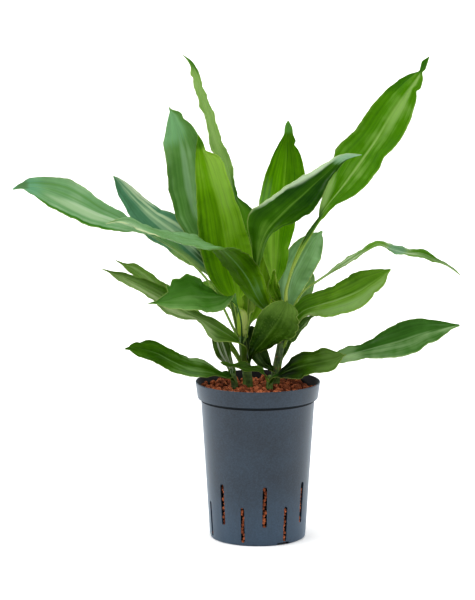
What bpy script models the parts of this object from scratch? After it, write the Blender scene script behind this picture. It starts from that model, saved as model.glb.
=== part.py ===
"""A young dracaena in a slotted culture pot, growing in fired clay granules.

Lengths are written in millimetres and turned into metres by MM.
The origin is the middle of the pot's underside, +Z is up and -Y is the front.
A turn is an angle about +Z, in degrees from the front towards +X.
"""

from math import ceil, cos, pi, radians, sin, tan

import bmesh
import bpy
from mathutils import Matrix, Vector, noise
from mathutils.geometry import interpolate_bezier

MM = 0.001
GAP = 0.3

# Pot
POT_HEIGHT = 190.0
POT_WALL = 1.5
POT_FLOOR = 3.0
BASE_RADIUS = 57.6
WAIST_RADIUS = 68.3
WAIST_HEIGHT = 168.0
COLLAR_RADIUS = 72.6
COLLAR_HEIGHT = 171.0
RIM_RADIUS = 75.0
RIM_ROUND = 1.0
FOOT_ROUND = 2.4
WALL_BREAKS = (60.0, 115.0)
POT_SIDES = 56

# Slots in the pot's wall, as turn of the first one, bottom, top and width
SLOTS_A_RING = 7
SLOT_ARC_STEPS = 5
CUTTER_DEPTH = 14.0
HIGH_SLOTS = (7.6, 23.0, 73.0, 4.8)
LOW_SLOTS = (-18.1, 4.0, 47.0, 3.9)
NOTCH_TURN = 31.7
NOTCH_WIDTH = 16.0
NOTCH_HEIGHT = 1.5
NOTCHES = 3

# Clay granules
CLAY_LEVEL = 180.5
GRAIN_SIZE = 13.0
GRAIN_RELIEF = 3.0
CLAY_RINGS = 12
CLAY_SIDES = 40

# Leaves. A leaf clasps its stem, narrows to a channelled stalk and opens into a flat blade.
BLADE_THICKNESS = 1.0
BASE_THICKNESS = 1.8
SHEATH_LENGTH = 14.0
SHEATH_HEIGHT = 9.0
SHEATH_CLEARANCE = 1.6
SHEATH_GAP = 0.5
SHEATH_CELLS = 2
CHANNEL_BEND = 0.95
FIRST_LOOK = 0.3
STALK_END = 0.85
STALK_FADE = 0.5
TIP_WIDTH = 1.2
EDGE_SHIFT = 0.35
EDGE_POWER = 1.6
ROW_SPACING = 15.0
FEWEST_ROWS = 6
CELLS_ACROSS = 2

# Stems: axis points, radius at the clay and radius at the tip
STEMS = {
    "stem_left": (
        [(-12, 17, 150), (-12, 17, 186), (-14, 16, 210), (-18, 14, 235), (-19, 13, 258)], 6.0, 3.6),
    "stem_right": (
        [(21, 27, 150), (21, 27, 186), (23, 27, 200), (30, 25, 240), (31, 25, 278)], 6.0, 3.6),
    "shoot_left": (
        [(-28, 5, 150), (-28, 5, 186), (-30, 4, 198)], 4.2, 2.6),
    "shoot_front": (
        [(14, -4, 150), (14, -4, 186), (14, -5, 197)], 4.2, 2.6),
}
STEM_SIDES = 10
STEM_RINGS = 6
STEM_TIP_RISE = 1.6
STEM_TIP_SHARE = 0.6

# Finishes: colour, roughness
POT_FINISH = ((0.060, 0.085, 0.115), 0.45)
CLAY_FINISH = ((0.34, 0.11, 0.05), 0.95)
STEM_FINISH = ((0.20, 0.27, 0.06), 0.55)
BLUE_GREEN = ((0.10, 0.27, 0.15), 0.50)
BRIGHT_GREEN = ((0.17, 0.36, 0.02), 0.40)
MID_GREEN = ((0.10, 0.25, 0.03), 0.40)
DARK_GREEN = ((0.035, 0.13, 0.015), 0.35)


def clear_scene():
    """Remove what the scene holds."""
    for thing in list(bpy.data.objects):
        bpy.data.objects.remove(thing, do_unlink=True)


def finish(thing, colour_and_roughness):
    """Give an object its own plain material."""
    colour, roughness = colour_and_roughness
    material = bpy.data.materials.new(thing.name + "_finish")
    material.use_nodes = True
    shader = material.node_tree.nodes["Principled BSDF"]
    shader.inputs["Base Color"].default_value = (*colour, 1.0)
    shader.inputs["Roughness"].default_value = roughness
    shader.inputs["Metallic"].default_value = 0.0
    thing.data.materials.clear()
    thing.data.materials.append(material)


def object_from(mesh_builder, name):
    """Turn a bmesh, in millimetres, into an object in metres."""
    mesh = bpy.data.meshes.new(name)
    mesh_builder.transform(Matrix.Scale(MM, 4))
    mesh_builder.to_mesh(mesh)
    mesh_builder.free()
    thing = bpy.data.objects.new(name, mesh)
    bpy.context.scene.collection.objects.link(thing)
    return thing


def shade_round(thing, angle=40.0):
    """Smooth shading that keeps sharp edges."""
    thing.data.shade_smooth()
    thing.data.set_sharp_from_angle(angle=radians(angle))


def heading(turn, rise=0.0):
    """The unit direction at a turn from the front and a rise above level."""
    flat = cos(radians(rise))
    return Vector((sin(radians(turn)) * flat, -cos(radians(turn)) * flat, sin(radians(rise))))


def ease(share):
    """A smooth step from 0 to 1."""
    share = min(max(share, 0.0), 1.0)
    return share * share * (3.0 - 2.0 * share)


def blend(table, share):
    """Read a value or vector from (share, value) pairs by straight blending."""
    for (start, low), (end, high) in zip(table, table[1:]):
        if share <= end:
            part = max(share - start, 0.0) / (end - start)
            return low + (high - low) * part
    return table[-1][1]


def spun_solid(name, outline, sides):
    """Turn a (radius, height) outline that starts and ends on the axis into a solid."""
    builder = bmesh.new()
    line = [builder.verts.new((radius, 0.0, height)) for radius, height in outline]
    edges = [builder.edges.new(pair) for pair in zip(line, line[1:])]
    bmesh.ops.spin(builder, geom=line + edges, cent=(0, 0, 0), axis=(0, 0, 1),
                   angle=2 * pi, steps=sides)
    bmesh.ops.remove_doubles(builder, verts=builder.verts, dist=0.001)
    bmesh.ops.recalc_face_normals(builder, faces=builder.faces)
    return object_from(builder, name)


def cut_with(thing, builder):
    """Cut an object with a closed cutter that is left out of the model."""
    cutter = object_from(builder, thing.name + "_cutter")
    cutter.hide_render = True
    cutter.display_type = 'WIRE'
    boolean = thing.modifiers.new("cut", 'BOOLEAN')
    boolean.operation = 'DIFFERENCE'
    boolean.solver = 'EXACT'
    boolean.object = cutter


def wall_radius(height):
    """The pot's outer radius on its tapered wall."""
    return BASE_RADIUS + (WAIST_RADIUS - BASE_RADIUS) * height / WAIST_HEIGHT


def add_slot(builder, turn, bottom, top, width):
    """Add a round-ended slot cutter that passes through the wall."""
    start = CUTTER_DEPTH / 2 - wall_radius((bottom + top) / 2)
    half = width / 2
    arc = [pi * step / SLOT_ARC_STEPS for step in range(SLOT_ARC_STEPS + 1)]
    outline = [(half * cos(angle), top - half + half * sin(angle)) for angle in arc]
    outline += [(-half * cos(angle), bottom + half - half * sin(angle)) for angle in arc]
    inner = [builder.verts.new((x, start, z)) for x, z in outline]
    face = builder.faces.new(inner)
    grown = bmesh.ops.extrude_face_region(builder, geom=[face])["geom"]
    outer = [item for item in grown if isinstance(item, bmesh.types.BMVert)]
    bmesh.ops.translate(builder, verts=outer, vec=(0, -CUTTER_DEPTH, 0))
    bmesh.ops.rotate(builder, verts=inner + outer, cent=(0, 0, 0),
                     matrix=Matrix.Rotation(radians(turn), 3, 'Z'))


def add_block(builder, size, middle, turn):
    """Add a box cutter of a given size, placed and then turned about the axis."""
    made = bmesh.ops.create_cube(builder, size=1.0)["verts"]
    bmesh.ops.scale(builder, verts=made, vec=size)
    bmesh.ops.translate(builder, verts=made, vec=middle)
    bmesh.ops.rotate(builder, verts=made, cent=(0, 0, 0),
                     matrix=Matrix.Rotation(radians(turn), 3, 'Z'))


def inner_wall():
    """The pot's inside as (height, radius) pairs, from its floor to its rim."""
    low = WALL_BREAKS[0]
    return [
        (POT_FLOOR, BASE_RADIUS - POT_WALL),
        (low, wall_radius(low) - POT_WALL),
        (WAIST_HEIGHT, WAIST_RADIUS - POT_WALL),
        (COLLAR_HEIGHT + POT_WALL, COLLAR_RADIUS - POT_WALL),
        (POT_HEIGHT, RIM_RADIUS - POT_WALL),
    ]


def outer_wall():
    """The pot's outside as (radius, height) pairs, from its foot to its rim."""
    step = COLLAR_HEIGHT - WAIST_HEIGHT
    line = [
        (BASE_RADIUS - FOOT_ROUND, 0),
        (BASE_RADIUS - FOOT_ROUND / 3, FOOT_ROUND / 4),
        (BASE_RADIUS, FOOT_ROUND),
    ]
    line += [(wall_radius(height), height) for height in WALL_BREAKS]
    line += [
        (WAIST_RADIUS, WAIST_HEIGHT),
        (WAIST_RADIUS + step, WAIST_HEIGHT + step / 3),
        (COLLAR_RADIUS, COLLAR_HEIGHT),
        (RIM_RADIUS, POT_HEIGHT - RIM_ROUND),
        (RIM_RADIUS - RIM_ROUND / 2, POT_HEIGHT),
    ]
    return line


def make_pot():
    """The thin-walled pot, with its collar, two rings of slots and notched foot."""
    outline = [(0, 0)] + outer_wall()
    outline += [(radius, height) for height, radius in reversed(inner_wall())]
    outline += [(0, POT_FLOOR)]
    pot = spun_solid("pot", outline, POT_SIDES)
    cutters = bmesh.new()
    for first_turn, bottom, top, width in (HIGH_SLOTS, LOW_SLOTS):
        for count in range(SLOTS_A_RING):
            add_slot(cutters, first_turn + count * 360.0 / SLOTS_A_RING, bottom, top, width)
    for count in range(NOTCHES):
        add_block(cutters, (NOTCH_WIDTH, CUTTER_DEPTH, 2 * NOTCH_HEIGHT), (0, -BASE_RADIUS, 0),
                  NOTCH_TURN + count * 360.0 / NOTCHES)
    bmesh.ops.recalc_face_normals(cutters, faces=cutters.faces)
    cut_with(pot, cutters)
    shade_round(pot)
    finish(pot, POT_FINISH)


def grain_height(x, y):
    """The lumpy top of the granules: a dome round each grain's middle."""
    nearest = noise.voronoi(Vector((x, y, 0.0)) / GRAIN_SIZE)[0][0]
    return CLAY_LEVEL + GRAIN_RELIEF * (0.5 - nearest)


def clay_radius(height):
    """The granules' outer radius, clear of the pot's faceted wall."""
    return (blend(inner_wall(), height) - GAP) * cos(pi / POT_SIDES)


def make_clay():
    """The clay granules that fill the pot, as one body with plain holes for the stems."""
    builder = bmesh.new()
    edge_height = CLAY_LEVEL - GRAIN_RELIEF
    turns = [heading(360.0 * step / CLAY_SIDES) for step in range(CLAY_SIDES)]
    rows = []
    for ring in range(1, CLAY_RINGS):
        spots = [turn * clay_radius(edge_height) * ring / CLAY_RINGS for turn in turns]
        rows.append([builder.verts.new((spot.x, spot.y, grain_height(spot.x, spot.y)))
                     for spot in spots])
    below = [height for height, _ in inner_wall() if POT_FLOOR < height < edge_height]
    for height in [edge_height] + below[::-1] + [POT_FLOOR + GAP]:
        rows.append([builder.verts.new(turn * clay_radius(height) + Vector((0, 0, height)))
                     for turn in turns])
    for inner, outer in zip(rows, rows[1:]):
        for step in range(CLAY_SIDES):
            after = (step + 1) % CLAY_SIDES
            builder.faces.new((inner[step], inner[after], outer[after], outer[step]))
    crown = builder.verts.new((0, 0, grain_height(0, 0)))
    foot = builder.verts.new((0, 0, POT_FLOOR + GAP))
    for step in range(CLAY_SIDES):
        after = (step + 1) % CLAY_SIDES
        builder.faces.new((crown, rows[0][step], rows[0][after]))
        builder.faces.new((foot, rows[-1][after], rows[-1][step]))
    bmesh.ops.triangulate(builder, faces=builder.faces)
    bmesh.ops.recalc_face_normals(builder, faces=builder.faces)
    clay = object_from(builder, "clay_granules")
    holes = bmesh.new()
    for axis, radius, _ in STEMS.values():
        x, y, foot_height = axis[0]
        bottom = foot_height - GAP
        hole_radius = (radius + GAP) / cos(pi / STEM_SIDES)
        made = bmesh.ops.create_cone(
            holes, cap_ends=True, segments=STEM_SIDES, radius1=hole_radius,
            radius2=hole_radius, depth=POT_HEIGHT - bottom)["verts"]
        bmesh.ops.translate(holes, verts=made, vec=(x, y, (POT_HEIGHT + bottom) / 2))
    cut_with(clay, holes)
    finish(clay, CLAY_FINISH)


def stem_at(stem, height):
    """A stem's axis point, its upward direction and its radius at a height."""
    axis, low_radius, tip_radius = STEMS[stem]
    table = [(point[2], Vector(point)) for point in axis]
    here = blend(table, height)
    step = 3.0
    ahead = blend(table, height + step) - blend(table, height - step)
    ahead.z = 2 * step
    share = (height - axis[1][2]) / (axis[-1][2] - axis[1][2])
    radius = low_radius + (tip_radius - low_radius) * min(max(share, 0.0), 1.0)
    return here, ahead.normalized(), radius


def stem_builder(stem):
    """A tapered stem, rounded over at its tip."""
    axis = STEMS[stem][0]
    foot, collar, tip = axis[0][2], axis[1][2], axis[-1][2]
    heights = [foot]
    heights += [collar + (tip - collar) * ring / STEM_RINGS for ring in range(STEM_RINGS + 1)]
    builder = bmesh.new()
    rows = []
    for height in heights + [tip + STEM_TIP_RISE]:
        here, _, radius = stem_at(stem, height)
        here.z = height
        if height > tip:
            radius *= STEM_TIP_SHARE
        rows.append([builder.verts.new(here + heading(360.0 * step / STEM_SIDES) * radius)
                     for step in range(STEM_SIDES)])
    for low, high in zip(rows, rows[1:]):
        for step in range(STEM_SIDES):
            after = (step + 1) % STEM_SIDES
            builder.faces.new((low[step], low[after], high[after], high[step]))
    builder.faces.new(rows[0])
    builder.faces.new(rows[-1])
    bmesh.ops.recalc_face_normals(builder, faces=builder.faces)
    return builder


def smooth_line(points, steps=16):
    """Points along one smooth curve through the given ones."""
    line = []
    last = len(points) - 1
    for index in range(last):
        here, there = points[index], points[index + 1]
        leaving = (there - points[max(index - 1, 0)]).normalized()
        arriving = (points[min(index + 2, last)] - here).normalized()
        pull = (there - here).length / 3.0
        line += interpolate_bezier(here, here + leaving * pull,
                                   there - arriving * pull, there, steps)[:-1]
    return line + [points[last]]


class Leaf:
    """One leaf, as a curved blade round a midrib that starts inside its stem."""

    def __init__(self, name, stem, height, side, width, looks, route, tone,
                 neck=0.25, swell=0.8, taper=0.9, clasp=10.5, stalk=9.5,
                 cup=0.14, vee=0.05, wave=2.5, waves=3.0):
        self.name = name
        self.stem = stem
        self.tone = tone
        self.width = width
        self.neck = neck
        self.swell = swell
        self.taper = taper
        self.clasp = clasp
        self.stalk = stalk
        self.cup = cup
        self.vee = vee
        self.wave = wave
        self.waves = waves
        middle, up, radius = stem_at(stem, height)
        out = heading(side)
        out = (out - up * out.dot(up)).normalized()
        points = [middle + out * radius / 3,
                  middle + up * SHEATH_HEIGHT + out * (radius + SHEATH_CLEARANCE)]
        self.line = smooth_line(points + [Vector(point) for point in route])
        self.reach = [0.0]
        for here, there in zip(self.line, self.line[1:]):
            self.reach.append(self.reach[-1] + (there - here).length)
        self.length = self.reach[-1]
        spread = (1.0 - FIRST_LOOK) / (len(looks) - 1)
        self.looks = [(0.0, -out)]
        for count, look in enumerate(looks):
            self.looks.append((FIRST_LOOK + spread * count, heading(*look)))

    def place(self, share):
        """The midrib's point at a share of the leaf's length."""
        goal = share * self.length
        for index in range(1, len(self.line)):
            if goal <= self.reach[index] or index == len(self.line) - 1:
                part = (goal - self.reach[index - 1]) / (self.reach[index] - self.reach[index - 1])
                return self.line[index - 1].lerp(self.line[index], part)

    def width_at(self, share):
        """The flat width: a clasping foot, a narrow stalk and then the blade."""
        along = min(max((share - self.neck) / (1.0 - self.neck), 0.0), 1.0)
        widest = self.swell / (self.swell + self.taper)
        blade = self.width * (along / widest) ** self.swell
        blade *= ((1.0 - along) / (1.0 - widest)) ** self.taper
        stalk = self.clasp + (self.stalk - self.clasp) * ease(share / (self.neck * 0.6))
        stalk *= ease((STALK_END - share) / STALK_FADE)
        return max((blade ** 3 + stalk ** 3) ** (1.0 / 3.0), TIP_WIDTH)

    def thickness_at(self, share):
        """Thicker at the foot, thin in the blade."""
        return BASE_THICKNESS + (BLADE_THICKNESS - BASE_THICKNESS) * ease(share / (self.neck + 0.1))

    def section_point(self, share, side):
        """Sideways place and lift of a point; side runs from -1 to 1 across the leaf."""
        open_out = ease((share - self.neck * 0.55) / (self.neck * 0.9 + 0.12))
        bend = CHANNEL_BEND + (self.cup - CHANNEL_BEND) * open_out
        half = self.width_at(share) / 2.0
        sideways = half * sin(bend * side) / bend
        lift = half * (1.0 - cos(bend * side)) / bend
        lift += abs(sideways) * tan(self.vee * open_out)
        shift = EDGE_SHIFT if side > 0 else 0.0
        ripple = self.wave * sin(2 * pi * (self.waves * share + shift))
        ripple *= ease((share - self.neck) / 0.15) * ease((1.0 - share) / 0.12)
        return sideways, lift + ripple * abs(side) ** EDGE_POWER

    def surface_point(self, share, side):
        """A point of the leaf's middle surface."""
        step = 0.004
        ahead = self.place(min(share + step, 1.0)) - self.place(max(share - step, 0.0))
        ahead.normalize()
        look = blend(self.looks, share)
        look = (look - ahead * look.dot(ahead)).normalized()
        sideways, lift = self.section_point(share, side)
        return self.place(share) + ahead.cross(look) * sideways + look * lift

    def make(self, name, first, last, rows, cells):
        """A closed sheet between two shares of the length, split alike on both faces."""
        builder = bmesh.new()
        shares = [first + (last - first) * row / rows for row in range(rows + 1)]
        sides = [-1.0 + 2.0 * cell / cells for cell in range(cells + 1)]
        grid = [[builder.verts.new(self.surface_point(share, side)) for side in sides]
                for share in shares]
        for row in range(rows):
            for cell in range(cells):
                corners = [grid[row][cell], grid[row][cell + 1],
                           grid[row + 1][cell + 1], grid[row + 1][cell]]
                turn = (row + cell) % 2
                corners = corners[turn:] + corners[:turn]
                builder.faces.new(corners[:3])
                builder.faces.new((corners[0], corners[2], corners[3]))
        sheet = object_from(builder, name)
        group = sheet.vertex_groups.new(name="thickness")
        for row, share in enumerate(shares):
            weight = self.thickness_at(share) / BASE_THICKNESS
            group.add([row * (cells + 1) + cell for cell in range(cells + 1)], weight, 'REPLACE')
        solidify = sheet.modifiers.new("thickness", 'SOLIDIFY')
        solidify.thickness = BASE_THICKNESS * MM
        solidify.offset = 0.0
        solidify.vertex_group = "thickness"
        sheet.data.shade_smooth()
        return sheet

    def make_blade(self):
        """The leaf's own solid, which starts where its sheath ends."""
        rows = max(FEWEST_ROWS, ceil((self.length - SHEATH_LENGTH) / ROW_SPACING))
        blade = self.make(self.name, SHEATH_LENGTH / self.length, 1.0, rows, CELLS_ACROSS)
        finish(blade, self.tone)

    def make_sheath(self):
        """The short foot that clasps the stem and is one piece with it."""
        end = (SHEATH_LENGTH - SHEATH_GAP) / self.length
        return self.make(self.name + "_sheath", 0.0, end, SHEATH_CELLS, SHEATH_CELLS)


LEAVES = [
    Leaf("leaf_long_left", "stem_left", 233, -95, 55, [(30, 55), (10, 52), (0, 48)],
         [(-55, 4, 302), (-79, -4, 332), (-116, -14, 361), (-151, -20, 380), (-189, -24, 395),
          (-222, -28, 411), (-251, -32, 423), (-275, -35, 427), (-288, -36, 425)],
         BLUE_GREEN, neck=0.42, swell=1.7, taper=0.7, stalk=11.0, wave=3.0),
    Leaf("leaf_back_left", "stem_left", 228, -170, 42, [(30, 40), (10, 40), (0, 45)],
         [(-37, 40, 292), (-64, 52, 322), (-94, 62, 349), (-119, 70, 367), (-143, 78, 388),
          (-163, 84, 410), (-176, 86, 428)],
         BLUE_GREEN, neck=0.3, swell=0.9),
    Leaf("leaf_arched_left", "stem_right", 246, -25, 48,
         [(165, 30), (140, 50), (20, 80), (0, 72), (0, 68), (0, 60)],
         [(4, -3, 285), (-13, -19, 318), (-29, -35, 341), (-45, -50, 358), (-63, -62, 363),
          (-93, -78, 370), (-125, -90, 383), (-153, -98, 396), (-176, -104, 393)],
         DARK_GREEN, neck=0.12, swell=0.7),
    Leaf("leaf_upright_left", "stem_left", 249, -155, 52, [(0, 20), (0, 15), (0, 10)],
         [(-31, 32, 302), (-58, 42, 349), (-74, 45, 385), (-82, 47, 427), (-88, 47, 464),
          (-96, 46, 493), (-107, 45, 516)],
         BLUE_GREEN, swell=0.9, taper=0.7),
    Leaf("leaf_bright_centre", "stem_left", 240, -10, 60, [(0, 15), (5, 15), (5, 20)],
         [(-21, 8, 272), (-26, 11, 295), (-32, 14, 325), (-38, 17, 355), (-44, 19, 388),
          (-54, 20, 424), (-64, 19, 457), (-71, 17, 484)],
         BRIGHT_GREEN, neck=0.2, swell=0.5, taper=1.0, stalk=13.0),
    Leaf("leaf_tall_left", "stem_left", 251, 120, 38, [(78, 8), (82, 6), (69, 8), (67, 10), (75, 15)],
         [(-11, 24, 270), (-11, 25, 300), (-12, 28, 335), (-19, 40, 373), (-31, 47, 415),
          (-43, 52, 451), (-55, 55, 483), (-64, 57, 513), (-72, 58, 547), (-79, 58, 564),
          (-90, 58, 577)],
         MID_GREEN, swell=1.0, taper=1.0, clasp=8.5),
    Leaf("leaf_upright_right", "stem_right", 268, -150, 54, [(0, 10), (0, 10), (0, 10)],
         [(19, 34, 289), (22, 40, 319), (25, 48, 354), (28, 56, 390), (32, 62, 426),
          (35, 66, 462), (37, 68, 497)],
         BRIGHT_GREEN, neck=0.15, swell=0.95),
    Leaf("leaf_dark_centre", "stem_right", 258, -80, 46,
         [(200, 10), (200, 30), (180, 45), (180, 60)],
         [(5, 9, 283), (-2, -1, 315), (0, -11, 345), (10, -20, 373), (29, -32, 397),
          (51, -44, 419), (74, -56, 442), (97, -68, 463), (119, -76, 470)],
         DARK_GREEN, neck=0.28, swell=1.2, taper=1.4, cup=0.2),
    Leaf("leaf_tall_right", "stem_right", 262, 50, 50, [(-20, 25), (-20, 25), (-20, 25)],
         [(36, 20, 300), (48, 25, 337), (59, 31, 359), (78, 32, 390), (108, 32, 429),
          (136, 30, 469), (166, 28, 519), (193, 25, 559), (203, 22, 577)],
         MID_GREEN, neck=0.36, swell=0.6, taper=0.8),
    Leaf("leaf_blue_right", "stem_right", 246, 150, 41, [(0, 40), (0, 35), (0, 30)],
         [(37, 43, 284), (43, 62, 306), (55, 82, 327), (66, 96, 344), (79, 106, 358)],
         BLUE_GREEN, neck=0.15, swell=0.7, taper=0.6),
    Leaf("leaf_blue_right_low", "stem_right", 236, 115, 30, [(0, 40), (0, 40), (0, 40)],
         [(41, 46, 272), (50, 68, 284), (59, 88, 296), (68, 104, 309)],
         BLUE_GREEN, neck=0.15, swell=0.7, taper=0.6),
    Leaf("leaf_ribbon_right", "stem_right", 240, 65, 20,
         [(0, 80), (0, 78), (0, 76), (0, 72), (0, 90), (0, 72), (0, 55), (0, 60)],
         [(44, 20, 275), (55, 16, 293), (74, 11, 313), (92, 6, 327), (112, 1, 341),
          (129, -3, 351), (143, -6, 357), (159, -9, 351), (176, -12, 348), (194, -15, 346),
          (211, -18, 339), (240, -22, 323)],
         MID_GREEN, neck=0.3, swell=1.0, taper=1.15, clasp=9.0, stalk=8.0, cup=0.2, vee=0.1, wave=2.0),
    Leaf("leaf_mid_right", "stem_right", 222, 50, 47, [(10, 50), (5, 47), (0, 45)],
         [(40, 4, 257), (54, -6, 275), (71, -14, 283), (92, -24, 291), (116, -32, 302),
          (138, -38, 317), (156, -42, 331)],
         MID_GREEN, neck=0.15, swell=0.7, taper=0.7),
    Leaf("leaf_small_right", "stem_right", 210, 110, 15, [(0, 50), (0, 50)],
         [(38, 40, 233), (49, 48, 245), (59, 54, 254), (70, 58, 260)],
         DARK_GREEN, neck=0.2, swell=1.0, taper=1.15, stalk=8.0, cup=0.3, vee=0.12),
    Leaf("leaf_dark_front", "stem_left", 203, 45, 47, [(180, 0), (180, 8), (172, 5), (160, 0)],
         [(-3, -15, 230), (5, -25, 241), (15, -34, 256), (25, -43, 272), (31, -49, 285),
          (34, -53, 296)],
         DARK_GREEN, neck=0.12, swell=0.8, taper=0.42, cup=0.3, wave=1.0),
    Leaf("leaf_front_left", "stem_left", 221, -20, 54, [(180, 20), (0, 45), (0, 40), (0, 40)],
         [(-20, -3, 261), (-26, -18, 285), (-36, -34, 297), (-57, -62, 301), (-80, -82, 305),
          (-105, -101, 304), (-127, -116, 302)],
         DARK_GREEN, swell=1.8, taper=1.3),
    Leaf("leaf_mid_left", "stem_left", 206, -35, 27, [(0, 50), (0, 50), (0, 50)],
         [(-22, -8, 236), (-43, -14, 253), (-60, -18, 264), (-87, -24, 279), (-122, -31, 301),
          (-157, -35, 320), (-184, -38, 331)],
         MID_GREEN, neck=0.3, swell=1.3, stalk=12.0),
    Leaf("leaf_mid_left_back", "stem_left", 198, -110, 25, [(0, 50), (0, 50), (0, 50)],
         [(-30, 26, 222), (-52, 29, 250), (-74, 27, 265), (-98, 21, 282), (-120, 12, 299),
          (-137, 8, 315), (-155, 3, 328), (-170, 0, 336)],
         MID_GREEN, neck=0.35),
    Leaf("leaf_folded_left", "shoot_left", 190, -160, 20, [(0, 10), (0, 10), (0, 20)],
         [(-31, 10, 201), (-41, 12, 222), (-47, 14, 240), (-53, 17, 253), (-58, 20, 262)],
         DARK_GREEN, neck=0.2, swell=1.0, taper=1.15, clasp=8.5, cup=0.3, vee=0.12),
    Leaf("leaf_low_left", "shoot_left", 186, -60, 34, [(0, 50), (0, 45), (0, 45)],
         [(-41, -6, 196), (-57, -12, 202), (-81, -22, 208), (-102, -32, 219), (-122, -40, 231),
          (-141, -46, 237), (-157, -50, 238)],
         DARK_GREEN, neck=0.2, swell=0.7, taper=0.6, clasp=8.5),
    Leaf("leaf_small_front", "shoot_front", 187, -60, 14, [(0, 60), (0, 50)],
         [(5, -12, 203), (-7, -18, 208), (-25, -24, 212), (-45, -28, 217)],
         MID_GREEN, neck=0.15, swell=1.0, taper=1.15, clasp=8.5, stalk=7.0, cup=0.2, vee=0.12),
    Leaf("leaf_low_right", "shoot_front", 185, 60, 38, [(0, 50), (0, 42)],
         [(25, -10, 198), (38, -18, 206), (54, -26, 213), (70, -34, 218), (89, -41, 223),
          (104, -46, 230)],
         DARK_GREEN, neck=0.15, swell=0.6, taper=0.6, clasp=8.5),
    Leaf("leaf_low_far_right", "stem_right", 187, 80, 44, [(0, 55), (0, 42), (0, 36)],
         [(40, 24, 201), (56, 22, 200), (75, 22, 204), (103, 20, 216), (126, 18, 223), (150, 16, 230),
          (174, 13, 237), (197, 10, 246), (220, 7, 253), (242, 5, 257)],
         DARK_GREEN, neck=0.35, swell=1.3, taper=1.1),
    Leaf("leaf_short_centre", "stem_right", 190, -60, 16, [(0, 10), (0, 10)],
         [(8, 16, 210), (0, 14, 225), (-5, 16, 244)],
         DARK_GREEN, neck=0.15, swell=1.0, taper=1.15, stalk=8.0, cup=0.3, vee=0.12),
    Leaf("leaf_spear", "stem_right", 272, -100, 14, [(0, 10), (0, 10)],
         [(19, 18, 301), (20, 16, 323)],
         MID_GREEN, neck=0.2, swell=1.0, taper=1.15, stalk=8.0, cup=0.3, vee=0.12),
    Leaf("leaf_back_arched", "stem_left", 224, 175, 48,
         [(0, 40), (0, 60), (0, 75), (180, 70)],
         [(-26, 62, 285), (-36, 100, 325), (-46, 140, 350), (-54, 178, 356), (-60, 210, 345)],
         MID_GREEN),
    Leaf("leaf_back_upright", "stem_right", 258, -150, 38, [(0, 30), (0, 40), (0, 60)],
         [(12, 46, 290), (13, 76, 325), (14, 105, 357), (15, 135, 380), (16, 168, 386)],
         BRIGHT_GREEN),
    Leaf("leaf_back_low_right", "stem_right", 208, 165, 40, [(0, 50), (0, 65), (0, 80)],
         [(33, 56, 242), (44, 82, 258), (58, 112, 264), (70, 150, 268), (80, 188, 262)],
         DARK_GREEN, neck=0.33),
    Leaf("leaf_back_low_left", "stem_left", 208, -155, 38, [(0, 50), (0, 65), (0, 80)],
         [(-24, 46, 262), (-46, 74, 280), (-72, 108, 285), (-96, 140, 282), (-118, 168, 271)],
         MID_GREEN, neck=0.33),
    Leaf("leaf_blue_back", "stem_left", 234, 90, 32, [(0, 20), (0, 20), (0, 30)],
         [(-9, 33, 261), (-4, 39, 282), (1, 49, 317), (6, 59, 353), (11, 72, 383)],
         BLUE_GREEN, neck=0.2),
]


def apply_modifiers(thing):
    """Replace an object's mesh by what its modifiers make of it."""
    graph = bpy.context.evaluated_depsgraph_get()
    baked = bpy.data.meshes.new_from_object(thing.evaluated_get(graph))
    thing.modifiers.clear()
    thing.data = baked


def make_stem(name):
    """A stem joined with the sheaths of the leaves that grow from it."""
    stem = object_from(stem_builder(name), name)
    sheaths = [leaf.make_sheath() for leaf in LEAVES if leaf.stem == name]
    for sheath in sheaths:
        union = stem.modifiers.new(sheath.name, 'BOOLEAN')
        union.operation = 'UNION'
        union.solver = 'EXACT'
        union.object = sheath
    apply_modifiers(stem)
    for sheath in sheaths:
        bpy.data.objects.remove(sheath, do_unlink=True)
    finish(stem, STEM_FINISH)


def main():
    clear_scene()
    make_pot()
    make_clay()
    for name in STEMS:
        make_stem(name)
    for leaf in LEAVES:
        leaf.make_blade()


main()
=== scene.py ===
# %% [markdown]
# # A potted dracaena
# This is a young dracaena in a plain culture pot: thin moulded plastic, red clay granules, two
# short stems, two small shoots and thirty leaves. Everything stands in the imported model's own
# frame, so we load that first. Lengths below are in millimetres, as a gardener would measure
# them, and MM turns them into Blender's metres.

# %% Load the frame
from dataclasses import dataclass
from math import cos, pi, radians, sin

import bmesh
import bpy
import numpy as np
from mathutils import Euler, Matrix, Vector, noise
from mathutils.geometry import interpolate_bezier


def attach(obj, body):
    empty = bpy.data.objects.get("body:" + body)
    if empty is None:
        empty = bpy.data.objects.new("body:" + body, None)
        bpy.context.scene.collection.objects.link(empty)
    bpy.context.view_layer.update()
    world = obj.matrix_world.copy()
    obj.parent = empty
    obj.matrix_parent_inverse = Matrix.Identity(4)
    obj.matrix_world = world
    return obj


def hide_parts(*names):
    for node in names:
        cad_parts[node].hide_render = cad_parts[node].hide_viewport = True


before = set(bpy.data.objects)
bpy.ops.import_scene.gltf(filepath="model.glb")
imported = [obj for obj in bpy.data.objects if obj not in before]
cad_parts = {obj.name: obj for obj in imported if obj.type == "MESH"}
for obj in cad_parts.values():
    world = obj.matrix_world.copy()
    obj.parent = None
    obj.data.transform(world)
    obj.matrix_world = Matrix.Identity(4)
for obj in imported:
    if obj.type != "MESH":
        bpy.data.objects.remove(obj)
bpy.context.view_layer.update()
MM = 0.001
print("nodes in the frame:", len(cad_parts))

# %% [markdown]
# ## Colours
# A shader wants linear colour, but we read a plant's greens off a screen in steps from 0 to 255.
# One small function does that change, so each finish below can be written as the eye sees it.


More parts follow.
